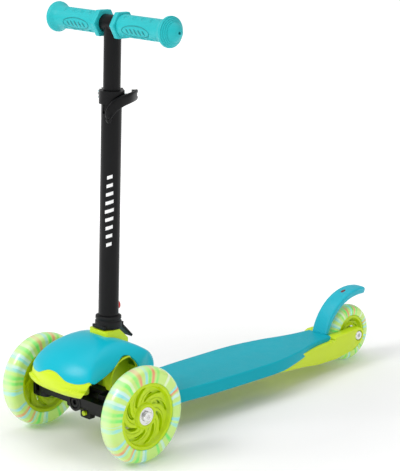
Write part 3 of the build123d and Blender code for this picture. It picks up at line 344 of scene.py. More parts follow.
def brushed_group():
    """Fine turning marks and dull patches on bright metal: colour, roughness and height."""
    group, inward, outward = new_group(
        "turned_metal",
        [("Color", "NodeSocketColor", (1, 1, 1, 1)), ("Roughness", "NodeSocketFloat", 0.2)],
        [("Color", "NodeSocketColor"), ("Roughness", "NodeSocketFloat"), ("Height", "NodeSocketFloat")])
    where = object_place(group)
    patches = noise_node(group, where, 180.0, 4.0)
    marks = noise_node(group, where, 2600.0, 2.0)
    shade = group.nodes.new("ShaderNodeHueSaturation")
    group.links.new(inward.outputs["Color"], shade.inputs["Color"])
    group.links.new(math_node(group, "MULTIPLY_ADD", patches, 0.3, 0.85), shade.inputs["Value"])
    rough = math_node(group, "MULTIPLY_ADD", patches, 0.2, inward.outputs["Roughness"])
    group.links.new(shade.outputs["Color"], outward.inputs["Color"])
    group.links.new(rough, outward.inputs["Roughness"])
    group.links.new(marks, outward.inputs["Height"])
    return group


def grouped_material(name, group, color, roughness, bump, metallic=0.0, coat=0.0, sheen=0.0, gloss=0.35,
                     **values):
    """Material whose colour, roughness and bump come from a shared group."""
    material, tree, shader = shader_material(name)
    surface = tree.nodes.new("ShaderNodeGroup")
    surface.node_tree = group
    surface.inputs["Color"].default_value = (*color[:3], 1)
    surface.inputs["Roughness"].default_value = roughness
    for label, value in values.items():
        surface.inputs[label].default_value = value
    height = tree.nodes.new("ShaderNodeBump")
    height.inputs["Strength"].default_value = bump
    height.inputs["Distance"].default_value = 0.0003
    tree.links.new(surface.outputs["Height"], height.inputs["Height"])
    tree.links.new(height.outputs["Normal"], shader.inputs["Normal"])
    tree.links.new(surface.outputs["Color"], shader.inputs["Base Color"])
    tree.links.new(surface.outputs["Roughness"], shader.inputs["Roughness"])
    shader.inputs["Metallic"].default_value = metallic
    shader.inputs["Specular IOR Level"].default_value = gloss
    shader.inputs["Coat Weight"].default_value = coat
    shader.inputs["Coat Roughness"].default_value = 0.15
    shader.inputs["Sheen Weight"].default_value = sheen
    return material


def deck_grip_material(group, color):
    """Deck plastic whose upper face carries rows of small raised dashes."""
    dash_pitch, row_pitch, zigzag_slope, level_enough = 0.004, 0.0032, 0.6, 0.93
    material = grouped_material("deck_grip_plastic", group, color, 0.42, 0.25, gloss=0.2, Grain=1800.0)
    tree = material.node_tree
    place = split_vector(tree, object_place(tree))
    across = math_node(tree, "SINE", math_node(tree, "MULTIPLY", place["X"], 2 * pi / dash_pitch))
    zigzag = math_node(tree, "PINGPONG", place["X"], dash_pitch)
    along = math_node(tree, "ADD", place["Y"], math_node(tree, "MULTIPLY", zigzag, zigzag_slope))
    rows = math_node(tree, "SINE", math_node(tree, "MULTIPLY", along, 2 * pi / row_pitch))
    dashes = math_node(tree, "MULTIPLY", math_node(tree, "MAXIMUM", across, 0.0),
                       math_node(tree, "MAXIMUM", rows, 0.0))
    facing = split_vector(tree, tree.nodes.new("ShaderNodeNewGeometry").outputs["Normal"])
    top = math_node(tree, "GREATER_THAN", facing["Z"], level_enough)
    raise_pattern(tree, math_node(tree, "MULTIPLY", dashes, top), 0.55, 0.0008)
    return material


def add_ribs(material, centre, pitch):
    """Give a material fine slanted ribs that run round a centre line along X."""
    tree = material.node_tree
    slant = 9.0
    _, place, angle = round_centre(tree, centre)
    slanted = math_node(tree, "MULTIPLY_ADD", place["X"], slant, angle)
    ribs = math_node(tree, "SINE", math_node(tree, "MULTIPLY", slanted, 2 * pi / pitch))
    raise_pattern(tree, ribs, 0.35, 0.0005)


def tyre_material(name, centre, core_radius, radius):
    """Clear tyre lit from inside: streaks of coloured light that run outwards from the lamps."""
    streak_count = 46
    tint, pale_rim = (0.62, 0.86, 0.24, 1), (0.80, 0.93, 0.62, 1)
    material, tree, shader = shader_material(name)
    shifted, place, angle = round_centre(tree, centre)
    squares = math_node(tree, "ADD", math_node(tree, "MULTIPLY", place["Y"], place["Y"]),
                        math_node(tree, "MULTIPLY", place["Z"], place["Z"]))
    outward = map_range(tree, math_node(tree, "SQRT", squares), core_radius * MM, radius * MM)
    wobble = noise_node(tree, shifted, 60.0, 1.0)
    turns = math_node(tree, "MULTIPLY", angle, streak_count / (2 * pi))
    streaks = tree.nodes.new("ShaderNodeTexVoronoi")
    streaks.voronoi_dimensions = "1D"
    streaks.inputs["Scale"].default_value = 1.0
    streaks.inputs["Randomness"].default_value = 0.7
    tree.links.new(math_node(tree, "MULTIPLY_ADD", wobble, 0.5, turns), streaks.inputs["W"])
    pick = tree.nodes.new("ShaderNodeSeparateColor")
    tree.links.new(streaks.outputs["Color"], pick.inputs[0])
    ramp = tree.nodes.new("ShaderNodeValToRGB")
    ramp.color_ramp.interpolation = "CONSTANT"
    stops = [(0.0, (0.30, 0.78, 0.92, 1)), (0.16, tint), (0.30, (0.16, 0.88, 0.16, 1)), (0.52, tint),
             (0.66, (0.95, 0.30, 0.18, 1)), (0.82, (0.62, 0.88, 0.95, 1)), (0.92, (0.85, 0.95, 0.75, 1))]
    for element, (position, color) in zip(ramp.color_ramp.elements, (stops[0], stops[-1])):
        element.position, element.color = position, color
    for position, color in stops[1:-1]:
        ramp.color_ramp.elements.new(position).color = color
    tree.links.new(pick.outputs[0], ramp.inputs["Fac"])
    soft = map_range(tree, streaks.outputs["Distance"], 0.5, 0.12)
    soft.interpolation_type = "SMOOTHSTEP"
    patches = noise_node(tree, shifted, 75.0, 2.0)
    strength = math_node(tree, "MINIMUM", math_node(tree, "MULTIPLY_ADD", patches, 1.9, -0.15), 0.95)
    whiten = blend(tree, math_node(tree, "MULTIPLY", strength, soft.outputs["Result"]))
    whiten.inputs["A"].default_value = tint
    tree.links.new(ramp.outputs["Color"], whiten.inputs["B"])
    rim = map_range(tree, outward.outputs["Result"], 0.80, 1.0)
    pale = blend(tree, math_node(tree, "MULTIPLY", rim.outputs["Result"], 0.45))
    tree.links.new(whiten.outputs["Result"], pale.inputs["A"])
    pale.inputs["B"].default_value = pale_rim
    for label in ("Base Color", "Emission Color"):
        tree.links.new(pale.outputs["Result"], shader.inputs[label])
    shader.inputs["Emission Strength"].default_value = 0.12
    shader.inputs["Roughness"].default_value = 0.22
    shader.inputs["Transmission Weight"].default_value = 0.25
    shader.inputs["Coat Weight"].default_value = 0.4
    return material


def lamp_material():
    """Light strip: lamps that glow green and orange-red in patches."""
    material, tree, shader = shader_material("lamp_strip")
    ramp = tree.nodes.new("ShaderNodeValToRGB")
    ramp.color_ramp.elements[0].color = (0.2, 0.9, 0.3, 1)
    ramp.color_ramp.elements[1].color = (0.95, 0.4, 0.25, 1)
    tree.links.new(noise_node(tree, object_place(tree), 40.0, 1.0), ramp.inputs["Fac"])
    for label in ("Base Color", "Emission Color"):
        tree.links.new(ramp.outputs["Color"], shader.inputs[label])
    shader.inputs["Emission Strength"].default_value = 1.0
    return material


def make_materials(finish):
    """Every finish of the scooter, by name."""
    moulded = moulded_group()
    metal = brushed_group()

    def plastic(name, color, roughness, bump, **settings):
        return grouped_material(name, moulded, color, roughness, bump, **settings)

    badge = [0.5 * channel for channel in finish.grip]
    made = {
        "teal": plastic("teal_plastic", finish.teal, 0.33, 0.12, coat=0.04, gloss=0.25, Grain=1600.0),
        "deck": deck_grip_material(moulded, finish.deck_teal),
        "lime": plastic("lime_plastic", finish.lime, 0.36, 0.12, coat=0.05, Grain=1600.0),
        "core": plastic("lime_core", finish.core_lime, 0.3, 0.08, coat=0.08, Grain=1600.0),
        "rubber": plastic("grip_rubber", finish.grip, 0.5, 0.35, sheen=0.08, Grain=2200.0),
        "badge": plastic("grip_badge", badge, 0.45, 0.2, Grain=2200.0),
        "black_paint": plastic("black_powder_coat", finish.black, 0.34, 0.3, gloss=0.16, Grain=900.0),
        "black_plastic": plastic("black_nylon", finish.black, 0.48, 0.4, gloss=0.25, Grain=1200.0),
        "black_rubber": plastic("black_rubber", finish.black, 0.75, 0.5, gloss=0.2, Grain=1500.0),
        "red": plastic("red_plastic", (0.65, 0.02, 0.02), 0.25, 0.05, coat=0.3),
        "white_print": plastic("white_print", (0.85, 0.85, 0.85), 0.45, 0.1, Drift=0.03),
        "dark_red": plastic("dark_red_lens", (0.12, 0.01, 0.015), 0.2, 0.05, coat=0.5),
        "zinc": grouped_material("bright_zinc", metal, (0.78, 0.78, 0.77), 0.14, 0.08, metallic=1.0),
        "steel": grouped_material("plain_steel", metal, (0.52, 0.52, 0.53), 0.28, 0.15, metallic=1.0),
        "lamps": lamp_material(),
        "fender": plastic("fender_plastic", finish.teal, 0.36, 0.12, coat=0.08, Grain=1600.0),
        "front_tyre": tyre_material("front_tyre_glow", mm(0, 0, FRONT_RADIUS), *FRONT_WHEEL),
        "rear_tyre": tyre_material("rear_tyre_glow", REAR_AXLE, *REAR_WHEEL),
    }
    add_ribs(made["fender"], mm(0, *FENDER_CENTRE), 0.034)
    return made


MATERIALS = {}
SLOT_FINISH = {
    "lime_plastic": "lime", "teal_plastic": "teal", "grip_rubber": "rubber", "clear_tyre": "front_tyre",
    "light_strip": "lamps", "black_paint": "black_paint", "black_plastic": "black_plastic",
    "black_rubber": "black_rubber", "red_plastic": "red", "plain_steel": "steel", "bright_steel": "zinc",
}


# ---- settings that a user may change ----
class ScooterFinish(bpy.types.PropertyGroup):
    """Colours of the scooter's plastics, rubber and paint."""

    teal: FloatVectorProperty(name="Nose colour", description="Colour of the nose and the fender",
                              subtype="COLOR", size=3, min=0, max=1, default=(0.0, 0.47, 0.60))
    deck_teal: FloatVectorProperty(name="Deck colour", description="Colour of the deck",
                                   subtype="COLOR", size=3, min=0, max=1, default=(0.0, 0.40, 0.50))
    lime: FloatVectorProperty(name="Frame colour", description="Colour of the chassis and the nose tray",
                              subtype="COLOR", size=3, min=0, max=1, default=(0.62, 0.80, 0.015))
    core_lime: FloatVectorProperty(name="Wheel colour", description="Colour of the wheel cores",
                                   subtype="COLOR", size=3, min=0, max=1, default=(0.55, 0.76, 0.0))
    grip: FloatVectorProperty(name="Grip colour", description="Colour of the handlebar grips",
                              subtype="COLOR", size=3, min=0, max=1, default=(0.005, 0.44, 0.47))
    black: FloatVectorProperty(name="Paint colour",
                               description="Colour of the painted tubes and black parts",
                               subtype="COLOR", size=3, min=0, max=1, default=(0.004, 0.004, 0.0045))


class ScooterShape(bpy.types.PropertyGroup):
    """Sizes of the finished pieces, in millimetres."""

    nose_wall: FloatProperty(name="Nose wall", description="Wall thickness of the nose in mm",
                             default=2.4, min=1.0, max=4.0)
    deck_edge: FloatProperty(name="Deck edge", description="Rounding of the deck's upper edge in mm",
                             default=2.4, min=0.5, max=5.0)
    fender_width: FloatProperty(name="Fender width", description="Width of the brake fender in mm",
                                default=26.0, min=18.0, max=30.0)
    badge_length: FloatProperty(name="Badge length", description="Length of the oval on each grip in mm",
                                default=46.0, min=20.0, max=56.0)
    lever_thickness: FloatProperty(name="Lever thickness", description="Thickness of the clamp lever in mm",
                                   default=4.6, min=3.0, max=6.0)


# ---- nose ----
NOSE_CENTRE = (0.0, 5.0, 90.0)
NOSE_CREASE = 1.0


def nose_reach(azimuth, elevation, lower=False):
    """Distance from the nose's centre to its skin; azimuth 0 looks forwards, in radians."""
    dx = sin(azimuth) * cos(elevation)
    dy = -cos(azimuth) * cos(elevation)
    dz = sin(elevation)
    depth = 70.0 if dy < 0 else 84.0
    height = 48.0 if dz > 0 else 19.0
    if lower:
        power = 2.6
        return ((abs(dx) / 80.0) ** power + (abs(dy) / depth) ** power
                + (abs(dz) / height) ** power) ** (-1 / power)
    front = 1 / sqrt((dx / 85.0) ** 2 + (dy / depth) ** 2 + (dz / height) ** 2)
    # side wings: an ellipsoid whose centre is behind and below the nose's
    wide, deep, tall = 62.0, 150.0, 56.6
    back, drop = 15.0, 2.0
    a = (dx / wide) ** 2 + (dy / deep) ** 2 + (dz / tall) ** 2
    b = 2 * (-dy * back / deep**2 + dz * drop / tall**2)
    c = (back / deep) ** 2 + (drop / tall) ** 2 - 1
    side = (-b + sqrt(b * b - 4 * a * c)) / (2 * a)
    reaches = [front, side]
    if dy > 0 and dz > -0.3:
        # rear slope, falling away from the dome's top
        fall, start, crown = 0.007, 5.0, 48.0
        a = fall * dy * dy
        b = dz + 2 * fall * start * dy
        c = fall * start * start - crown
        reaches.append((-b + sqrt(b * b - 4 * a * c)) / (2 * a))
    if dy > 0:
        # the plan narrows behind the wheel arches
        reaches.append(((abs(dx) / 61.7) ** 1.8 + (dy / 88.0) ** 1.8) ** (-1 / 1.8))
    least = min(reaches)
    return -NOSE_CREASE * log(sum(exp(-(reach - least) / NOSE_CREASE) for reach in reaches)) + least


def nose_point(azimuth, elevation, inset=0.0, lower=False):
    """Point on the nose's skin, drawn in by an inset."""
    reach = nose_reach(azimuth, elevation, lower) - inset
    return mm(NOSE_CENTRE[0] + reach * sin(azimuth) * cos(elevation),
              NOSE_CENTRE[1] - reach * cos(azimuth) * cos(elevation),
              NOSE_CENTRE[2] + reach * sin(elevation))


def elevation_at(azimuth, height):
    """Elevation at which the nose's skin is at a height."""
    low, high = radians(-35), radians(89)
    for _ in range(22):
        half = (low + high) / 2
        if NOSE_CENTRE[2] + nose_reach(azimuth, half) * sin(half) < height:
            low = half
        else:
            high = half
    return low


COVER_EDGE = (
    # degrees from the front, height of the cover's lower edge
    (0, 107.0), (7, 106.2), (14, 103.0), (21, 99.2), (28, 98.0), (34, 98.0), (40, 99.4), (45, 101.4),
    (47, 100.0), (50, 98.5), (55, 101.0), (63, 105.2), (72, 109.8), (80, 114.6), (87, 118.7),
    (95, 121.6), (103, 121.0), (108, 117.0), (111, 110.0), (113.5, 101.0), (116, 92.0), (125, 84.0),
    (140, 81.0), (160, 80.0), (180, 80.0),
)


def cover_edge(azimuth):
    """Height of the cover's lower edge at an azimuth in radians."""
    return smooth_through(COVER_EDGE, abs(degrees(azimuth)))


class SCOOTER_OT_nose(bpy.types.Operator):
    """Build the domed nose cover and the lime tray under it"""

    bl_idname = "scooter.nose"
    bl_label = "Nose"

    def execute(self, context):
        shape = context.scene.scooter_shape

        def cover(u, v):
            azimuth = (u * 2 - 1) * pi
            low = elevation_at(azimuth, cover_edge(azimuth))
            return nose_point(azimuth, low + (pi / 2 - low) * v)

        shell = shaped_grid("nose_shell", 288, 30, cover)
        thicken(shell, shape.nose_wall)
        soften(shell, 0.7, 50)
        mount(shell, "chassis", "teal_plastic", MATERIALS["teal"], "nose_cover", angle=40)

        half_turn = radians(47.0)

        def tray(u, v):
            azimuth = (u * 2 - 1) * half_turn
            edge = cover_edge(azimuth) + 1.5
            top = elevation_at(azimuth, edge)
            share = abs(u * 2 - 1)
            bottom = radians(-80 + 88 * share ** 0.8)
            bottom = min(bottom, top - radians(3))
            elevation = top + (bottom - top) * v
            upper = nose_point(azimuth, elevation, 0.5)
            if elevation >= 0:
                return upper
            return nose_point(azimuth, elevation, 0.5, lower=True)

        bowl = shaped_grid("nose_bowl", 120, 30, tray)
        thicken(bowl, shape.nose_wall)
        soften(bowl, 0.6, 50)
        pegs = []
        for x in (-12.0, 12.0):
            peg = lathe("stop_peg", [(0.1, 69.9), (4.2, 69.9), (5.6, 71.3), (5.8, 86.0), (0.1, 86.0)], 32)
            put(peg, Matrix.Translation(mm(x, -20, 0)))
            pegs.append(peg)

        def liner(side):
            def point(u, v):
                turn = radians(-28 + 236 * u)
                radius = 26.5 + 1.5 * v
                return mm(side * (38.0 + 13.0 * v), 16.0 + radius * cos(turn), 92.0 + radius * sin(turn))
            arch = shaped_grid("arch_liner", 40, 6, point)
            thicken(arch, 2.0)
            return arch

        bowl = join([bowl, *pegs, liner(1), liner(-1)], "nose_bowl")
        mount(bowl, "chassis", "lime_plastic", MATERIALS["lime"], "nose_tray", angle=40)
        return {"FINISHED"}


# ---- deck ----
DECK_RIDGE = (
    # distance behind the front axle, half width of the deck's upper edge
    (92.0, 40.0), (115.0, 42.0), (150.0, 44.8), (190.0, 46.6), (240.0, 47.2), (290.0, 46.4),
    (340.0, 38.5), (373.0, 29.5), (395.0, 24.5), (424.0, 21.0),
)
DECK_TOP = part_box("deck_top")[1].z / MM


class SCOOTER_OT_deck(bpy.types.Operator):
    """Build the deck plate with its rounded edge and sloping skirts"""

    bl_idname = "scooter.deck"
    bl_label = "Deck"

    def execute(self, context):
        edge = context.scene.scooter_shape.deck_edge

        def section(half_width, skirt, flare):
            """Half section from the middle out, over the edge and down the skirt."""
            flat = [(half_width - edge) * share for share in (0, 0.25, 0.5, 0.75, 0.9)]
            points = [(x, DECK_TOP) for x in flat]
            for step in range(7):
                turn = radians(90 - 76 * step / 6)
                points.append((half_width - edge + edge * cos(turn), DECK_TOP - edge + edge * sin(turn)))
            for share in (0.35, 0.7, 1.0):
                points.append((half_width + share * flare, DECK_TOP - edge - share * skirt))
            return points

        count = len(section(40.0, 12.0, 3.6))

        def point(u, v):
            y = DECK_RIDGE[0][0] + (DECK_RIDGE[-1][0] - DECK_RIDGE[0][0]) * v
            skirt = 12.6 - 8.6 * min(max((y - 300.0) / 110.0, 0.0), 1.0)
            flare = 3.6 - 3.2 * min(max((y - 300.0) / 80.0, 0.0), 1.0)
            half = section(smooth_through(DECK_RIDGE, y), skirt, flare)
            index = round(abs(u * 2 - 1) * (count - 1))
            x, z = half[index]
            return mm(x if u > 0.5 else -x, y, z)

        plate = shaped_grid("deck_plate", 2 * (count - 1), 90, point)
        thicken(plate, 3.2)
        soften(plate, 0.8, 50)
        mount(plate, "chassis", "teal_plastic", MATERIALS["deck"], "deck_top")
        return {"FINISHED"}


# ---- fender ----
FENDER_CENTRE = (493.0, 30.6)
FENDER_RADIUS = 73.6


class SCOOTER_OT_fender(bpy.types.Operator):
    """Build the curved fender that is stepped on to brake"""

    bl_idname = "scooter.fender"
    bl_label = "Brake fender"

    def execute(self, context):
        half_width = context.scene.scooter_shape.fender_width / 2

        def point(u, v):
            around = u * 2 * pi
            power = 0.42
            wide = copysign_power(cos(around), power)
            deep = copysign_power(sin(around), power)
            end = min(v, 1 - v) / 0.055
            cap = sqrt(max(0.0, 1 - (1 - end) ** 2)) if end < 1 else 1.0
            thickness = smooth_through(((0, 8.0), (0.5, 10.0), (0.8, 10.8), (1, 10.0)), v) / 2
            width = half_width * smooth_through(((0, 1.0), (0.7, 0.97), (0.9, 0.86), (1, 0.66)), v)
            turn = radians(168.0 - 94.0 * v)
            radius = FENDER_RADIUS - thickness + thickness * deep * cap
            return mm(width * wide * (0.72 + 0.28 * cap), FENDER_CENTRE[0] + radius * cos(turn),
                      FENDER_CENTRE[1] + radius * sin(turn))

        fender = shaped_grid("stomp_fender", 64, 150, point)
        close_ends(fender)
        hinge = lathe("hinge_barrel", [(2.1, -12.6), (4.6, -12.6), (5.0, -12.2), (5.0, 12.2), (4.6, 12.6),
                                       (2.1, 12.6)], 40)
        put(hinge, Matrix.Translation(mm(0, 424, 45)) @ Matrix.Rotation(pi / 2, 4, "Y"))
        fender = join([fender, hinge], "stomp_fender")
        lens = lathe("fender_spot", [(0.1, 0.0), (3.4, 0.0), (3.3, 0.5), (2.4, 1.0), (0.1, 1.3)], 32)
        tilt = radians(16.0)
        seat = FENDER_RADIUS - 0.8
        spot = mm(0, FENDER_CENTRE[0] - seat * sin(tilt), FENDER_CENTRE[1] + seat * cos(tilt))
        put(lens, Matrix.Translation(spot) @ Matrix.Rotation(tilt, 4, "X")
            @ Matrix.Diagonal((1.0, 1.5, 1.0, 1.0)))
        mount(lens, "brake_fender", "teal_plastic", MATERIALS["dark_red"])
        mount(fender, "brake_fender", "teal_plastic", MATERIALS["fender"], "brake_fender")
        return {"FINISHED"}


def copysign_power(value, power):
    """Signed power, which squares off a circle's section."""
    return (abs(value) ** power) * (1 if value >= 0 else -1)


# ---- wheels ----
SPOKES = 8
# radius of the core, radius of the tyre
FRONT_WHEEL = (41.5, 60.0)
REAR_WHEEL = (26.5, 40.0)


def swirl_cutter(reach, turn, widths, heights, sweep):
    """Closed teardrop prism that follows a spoke's swirl, for sinking pockets, holes and grooves."""
    def point(u, v):
        way = (1 - cos(u * 2 * pi)) / 2
        radius = reach[0] + (reach[1] - reach[0]) * way
        half = sin(u * 2 * pi) * (widths[0] + (widths[1] - widths[0]) * way)
        angle = radians(turn - sweep * way ** 1.25) + half / radius
        height = heights[0] + (heights[1] - heights[0]) * v
        return Vector((radius * cos(angle), radius * sin(angle), height)) * MM

    cutter = shaped_grid("cutter", 44, 1, point)
    close_ends(cutter)
    return cutter


def close_ends(piece):
    """Close the two open ends of a swept piece."""
    edit(piece)
    bpy.ops.mesh.select_mode(type="EDGE")
    bpy.ops.mesh.select_all(action="DESELECT")
    bpy.ops.mesh.select_non_manifold()
    bpy.ops.mesh.edge_face_add()
    bpy.ops.mesh.select_all(action="SELECT")
    bpy.ops.mesh.normals_make_consistent(inside=False)
    bpy.ops.object.mode_set(mode="OBJECT")


def spoked_core(name, core_radius, hub):
    """Spoked core about Z: a turned disc with dished pockets, holes and grooves between its rims."""
    rim = core_radius - 5.0
    half = [(11.1, 9.0), (11.7, 9.6), (hub - 1.1, 9.6), (hub, 8.8), (hub + 0.9, 6.2), (hub + 1.8, 5.8),
            (rim - 1.0, 5.8), (rim - 0.2, 6.6), (rim + 0.5, 10.2), (rim + 1.3, 11.0),
            (core_radius - 0.5, 11.0), (core_radius, 10.5)]
    core = lathe(name, half + [(radius, -height) for radius, height in reversed(half)], 192)
    inner, outer = hub + 1.6, rim - 0.9
    span = outer - inner
    wide = outer * 0.185
    sunk, through = [], []
    for index in range(SPOKES):
        turn = index * 360 / SPOKES
        for pocket, groove in (((2.4, 8.0), (4.0, 8.0)), ((-8.0, -2.4), (-8.0, -4.0))):
            sunk.append(swirl_cutter((inner, outer), turn, (wide * 0.28, wide), pocket, 46))
            sunk.append(swirl_cutter((inner - 0.2, outer - span * 0.08), turn + 180 / SPOKES,
                                     (0.55, 0.6), groove, 50))
        through.append(swirl_cutter((inner + span * 0.06, outer - span * 0.34), turn + 1.5,
                                    (wide * 0.2, wide * 0.62), (-12.0, 12.0), 30))
    cut(core, join(sunk, "sunk"))
    cut(core, join(through, "through"))
    tidy_mesh(core, 0.005)
    soften(core, 0.4, 40)
    return core


class SCOOTER_OT_wheels(bpy.types.Operator):
    """Build the spoked cores and the clear tyres"""

    bl_idname = "scooter.wheels"
    bl_label = "Wheels"

    def execute(self, context):
        front_hub, rear_hub, seat_gap = 15.5, 13.4, 0.1
        left, right = (mm(side * TRACK_HALF / MM, 0, FRONT_RADIUS) for side in (1, -1))
        for name, centre, side, (core_radius, tyre_radius), hub, steps, glow in (
                ("left", left, 1, FRONT_WHEEL, front_hub, 128, "front_tyre"),
                ("right", right, -1, FRONT_WHEEL, front_hub, 128, "front_tyre"),
                ("rear", REAR_AXLE, 1, REAR_WHEEL, rear_hub, 96, "rear_tyre")):
            place = Matrix.Translation(centre) @ Matrix.Rotation(side * pi / 2, 4, "Y")
            core = spoked_core(f"{name}_spoked_core", core_radius, hub)
            put(core, place)
            mount(core, f"{name}_wheel", "lime_plastic", MATERIALS["core"], f"{name}_wheel_core")
            tyre = lathe(f"{name}_clear_tyre", tyre_outline(core_radius + seat_gap, tyre_radius), steps)
            put(tyre, place)
            mount(tyre, f"{name}_wheel", "clear_tyre", MATERIALS[glow], f"{name}_tyre")
        return {"FINISHED"}


def tyre_outline(inner, outer):
    """Outline of a tyre: flat sides and a round tread."""
    crown, half, bevel, steps = 9.0, 12.0, 0.4, 14
    shoulder = outer - crown
    points = [(inner, bevel - half), (inner + bevel, -half), (shoulder, -half)]
    for step in range(1, steps):
        turn = radians(-90 + 180 * step / steps)
        points.append((shoulder + crown * cos(turn) ** 0.9, half * sin(turn)))
    return points + [(shoulder, half), (inner + bevel, half), (inner, half - bevel)]


# ---- grips ----
GRIP_RADIUS = 13.4


class SCOOTER_OT_grips(bpy.types.Operator):
    """Build the rubber grips with their flanges, dimples and oval badges"""

    bl_idname = "scooter.grips"
    bl_label = "Grips"

    def build_grip(self, name):
        outline = [(10.9, 19.0), (GRIP_RADIUS, 19.0), (GRIP_RADIUS, 88.0), (14.4, 91.5), (17.2, 95.4),
                   (18.5, 97.6), (18.7, 99.4), (18.4, 101.0), (17.0, 101.4), (17.0, 102.3), (16.4, 102.9),
                   (15.4, 103.1), (15.4, 104.0), (14.8, 104.6), (13.7, 104.8), (13.7, 105.7), (13.1, 106.3),
                   (11.9, 106.5), (11.9, 107.5), (11.0, 108.6), (8.0, 112.0), (4.6, 114.3), (2.2, 114.9),
                   (1.7, 114.5), (1.7, 106.0), (10.9, 102.0)]
        body = lathe(name, outline, 96)
        clear_selection()
        bpy.ops.mesh.primitive_cylinder_add(vertices=6, radius=0.0180, depth=0.0072,
                                            location=(0, 0, 0.01665))
        flange = bpy.context.object
        put(flange, flange.matrix_world.copy())
        modify(flange, "BEVEL", width=0.0009, segments=3)
        bpy.ops.mesh.primitive_cylinder_add(vertices=64, radius=0.0109, depth=0.03, location=(0, 0, 0.0166))
        cut(flange, bpy.context.object)
        for index in range(4):
            for turn in (90, 210, 330):
                clear_selection()
                bpy.ops.mesh.primitive_uv_sphere_add(segments=24, ring_count=16, radius=0.0062)
                ball = bpy.context.object
                reach = (GRIP_RADIUS + 4.4) * MM
                up = (31 + index * 15) * MM
                place = Vector((reach * cos(radians(turn)), reach * sin(radians(turn)), up))
                put(ball, Matrix.Translation(place) @ Matrix.Diagonal((1, 1, 0.8, 1)))
                cut(body, ball)
        return join([body, flange], name)

    def build_badge(self, name, length):
        """Raised oval with a row of slanted bars inside, wrapped on the grip."""
        pieces = []
        middle_along = 53

        def wrapped(x, across, lift):
            angle = across / GRIP_RADIUS
            radius = (GRIP_RADIUS - 0.1 + lift) * MM
            return Vector((radius * cos(angle), radius * sin(angle), x * MM))

        def oval(u, v):
            turn = u * 2 * pi
            ring = v * 2 * pi
            grow = 0.5 * cos(ring)
            along = (length / 2 + grow) * cos(turn) + middle_along
            return wrapped(along, (7.2 + grow) * sin(turn), 0.1 + 0.5 * sin(ring))

        pieces.append(shaped_grid("badge_oval", 72, 8, oval))
        for index in range(5):
            centre = middle_along + (index - 2) * 7.0
            tall = 4.2 - 0.6 * abs(index - 2)

            def bar(u, v, centre=centre, tall=tall):
                turn = u * 2 * pi
                rise = v * pi / 2
                across = tall * sin(turn) * cos(rise)
                return wrapped(centre + 1.7 * cos(turn) * cos(rise) + across * 0.5, across, 0.7 * sin(rise))

            pieces.append(shaped_grid("badge_bar", 20, 4, bar))
        return join(pieces, name)

    def execute(self, context):
        length = context.scene.scooter_shape.badge_length
        bar_height = (BAR_TOP_Z - 0.0108 - STEM_FOOT_Z * MM) / STEM_AXIS.z / MM
        for side_name, side in (("left", 1), ("right", -1)):
            place = stem_place(bar_height) @ Matrix.Rotation(side * pi / 2, 4, "Y")
            skin = self.build_grip(f"{side_name}_grip_skin")
            put(skin, place)
            mount(skin, "handlebar", "grip_rubber", MATERIALS["rubber"], f"{side_name}_grip", angle=28)
            badge = self.build_badge(f"{side_name}_grip_badge", length)
            forward = Matrix.Rotation(radians(-72 if side > 0 else -108), 4, "Z")
            put(badge, place @ forward)
            mount(badge, "handlebar", "grip_rubber", MATERIALS["badge"])
        return {"FINISHED"}


# ---- clamp lever ----
CLAMP_TURN = 45.4
LEVER_PATH = (
    # share of the way, then across, behind and above the clamp's middle, and height of the section
    (0.00, 28.5, 26.0, 0.4, 10.0), (0.06, 28.6, 22.0, 0.4, 12.5), (0.22, 27.0, 10.0, 0.3, 12.6),
    (0.38, 22.0, -3.5, -0.6, 12.8), (0.54, 12.5, -13.8, -3.6, 13.6), (0.68, 4.6, -18.2, -8.6, 13.4),
    (0.80, -0.4, -19.6, -15.6, 11.0), (0.91, -2.4, -19.4, -22.8, 8.0), (1.00, -1.6, -18.6, -30.0, 4.0),
)


class SCOOTER_OT_lever(bpy.types.Operator):
    """Build the clamp's curved lever"""

    bl_idname = "scooter.lever"
    bl_label = "Clamp lever"

    def execute(self, context):
        thickness = context.scene.scooter_shape.lever_thickness
        tracks = [[(row[0], row[k]) for row in LEVER_PATH] for k in (1, 2, 3, 4)]

        def path(v):
            return Vector([smooth_through(track, v) for track in tracks[:3]])

        def point(u, v):
            ahead = path(min(v + 0.01, 1.0)) - path(max(v - 0.01, 0.0))
            ahead.normalize()
            side = ahead.cross(Vector((0, 0, 1))).normalized()
            up = side.cross(ahead).normalized()
            end = min(v, 1 - v)
            cap = sqrt(max(0.0, 1 - (1 - end / 0.05) ** 2)) if end < 0.05 else 1.0
            deep = copysign_power(cos(u * 2 * pi), 0.6) * thickness / 2 * (0.3 + 0.7 * cap)
            tall = copysign_power(sin(u * 2 * pi), 0.6) * smooth_through(tracks[3], v) / 2 * cap
            return (path(v) + side * deep + up * tall) * MM

        lever = shaped_grid("quick_lever", 36, 90, point)
        close_ends(lever)
        clear_selection()
        bpy.ops.mesh.primitive_cube_add(size=1)
        slot = bpy.context.object
        put(slot, Matrix.Translation((0.026, 0.0225, 0.0004)) @ Matrix.Diagonal((0.02, 0.017, 0.0056, 1)))
        cut(lever, slot)
        middle_height = 279.0
        put(lever, stem_place(middle_height, CLAMP_TURN))
        mount(lever, "clamp_lever", "black_paint", MATERIALS["black_paint"], "clamp_lever")
        return {"FINISHED"}


# ---- collar and chassis, trimmed from the frame's own pieces ----
def body_of(node):
    """Body that carries a node."""
    bodies = frame["record"]["behaviour"]["bodies"]
    return next(body for body, nodes in bodies.items() if node in nodes)


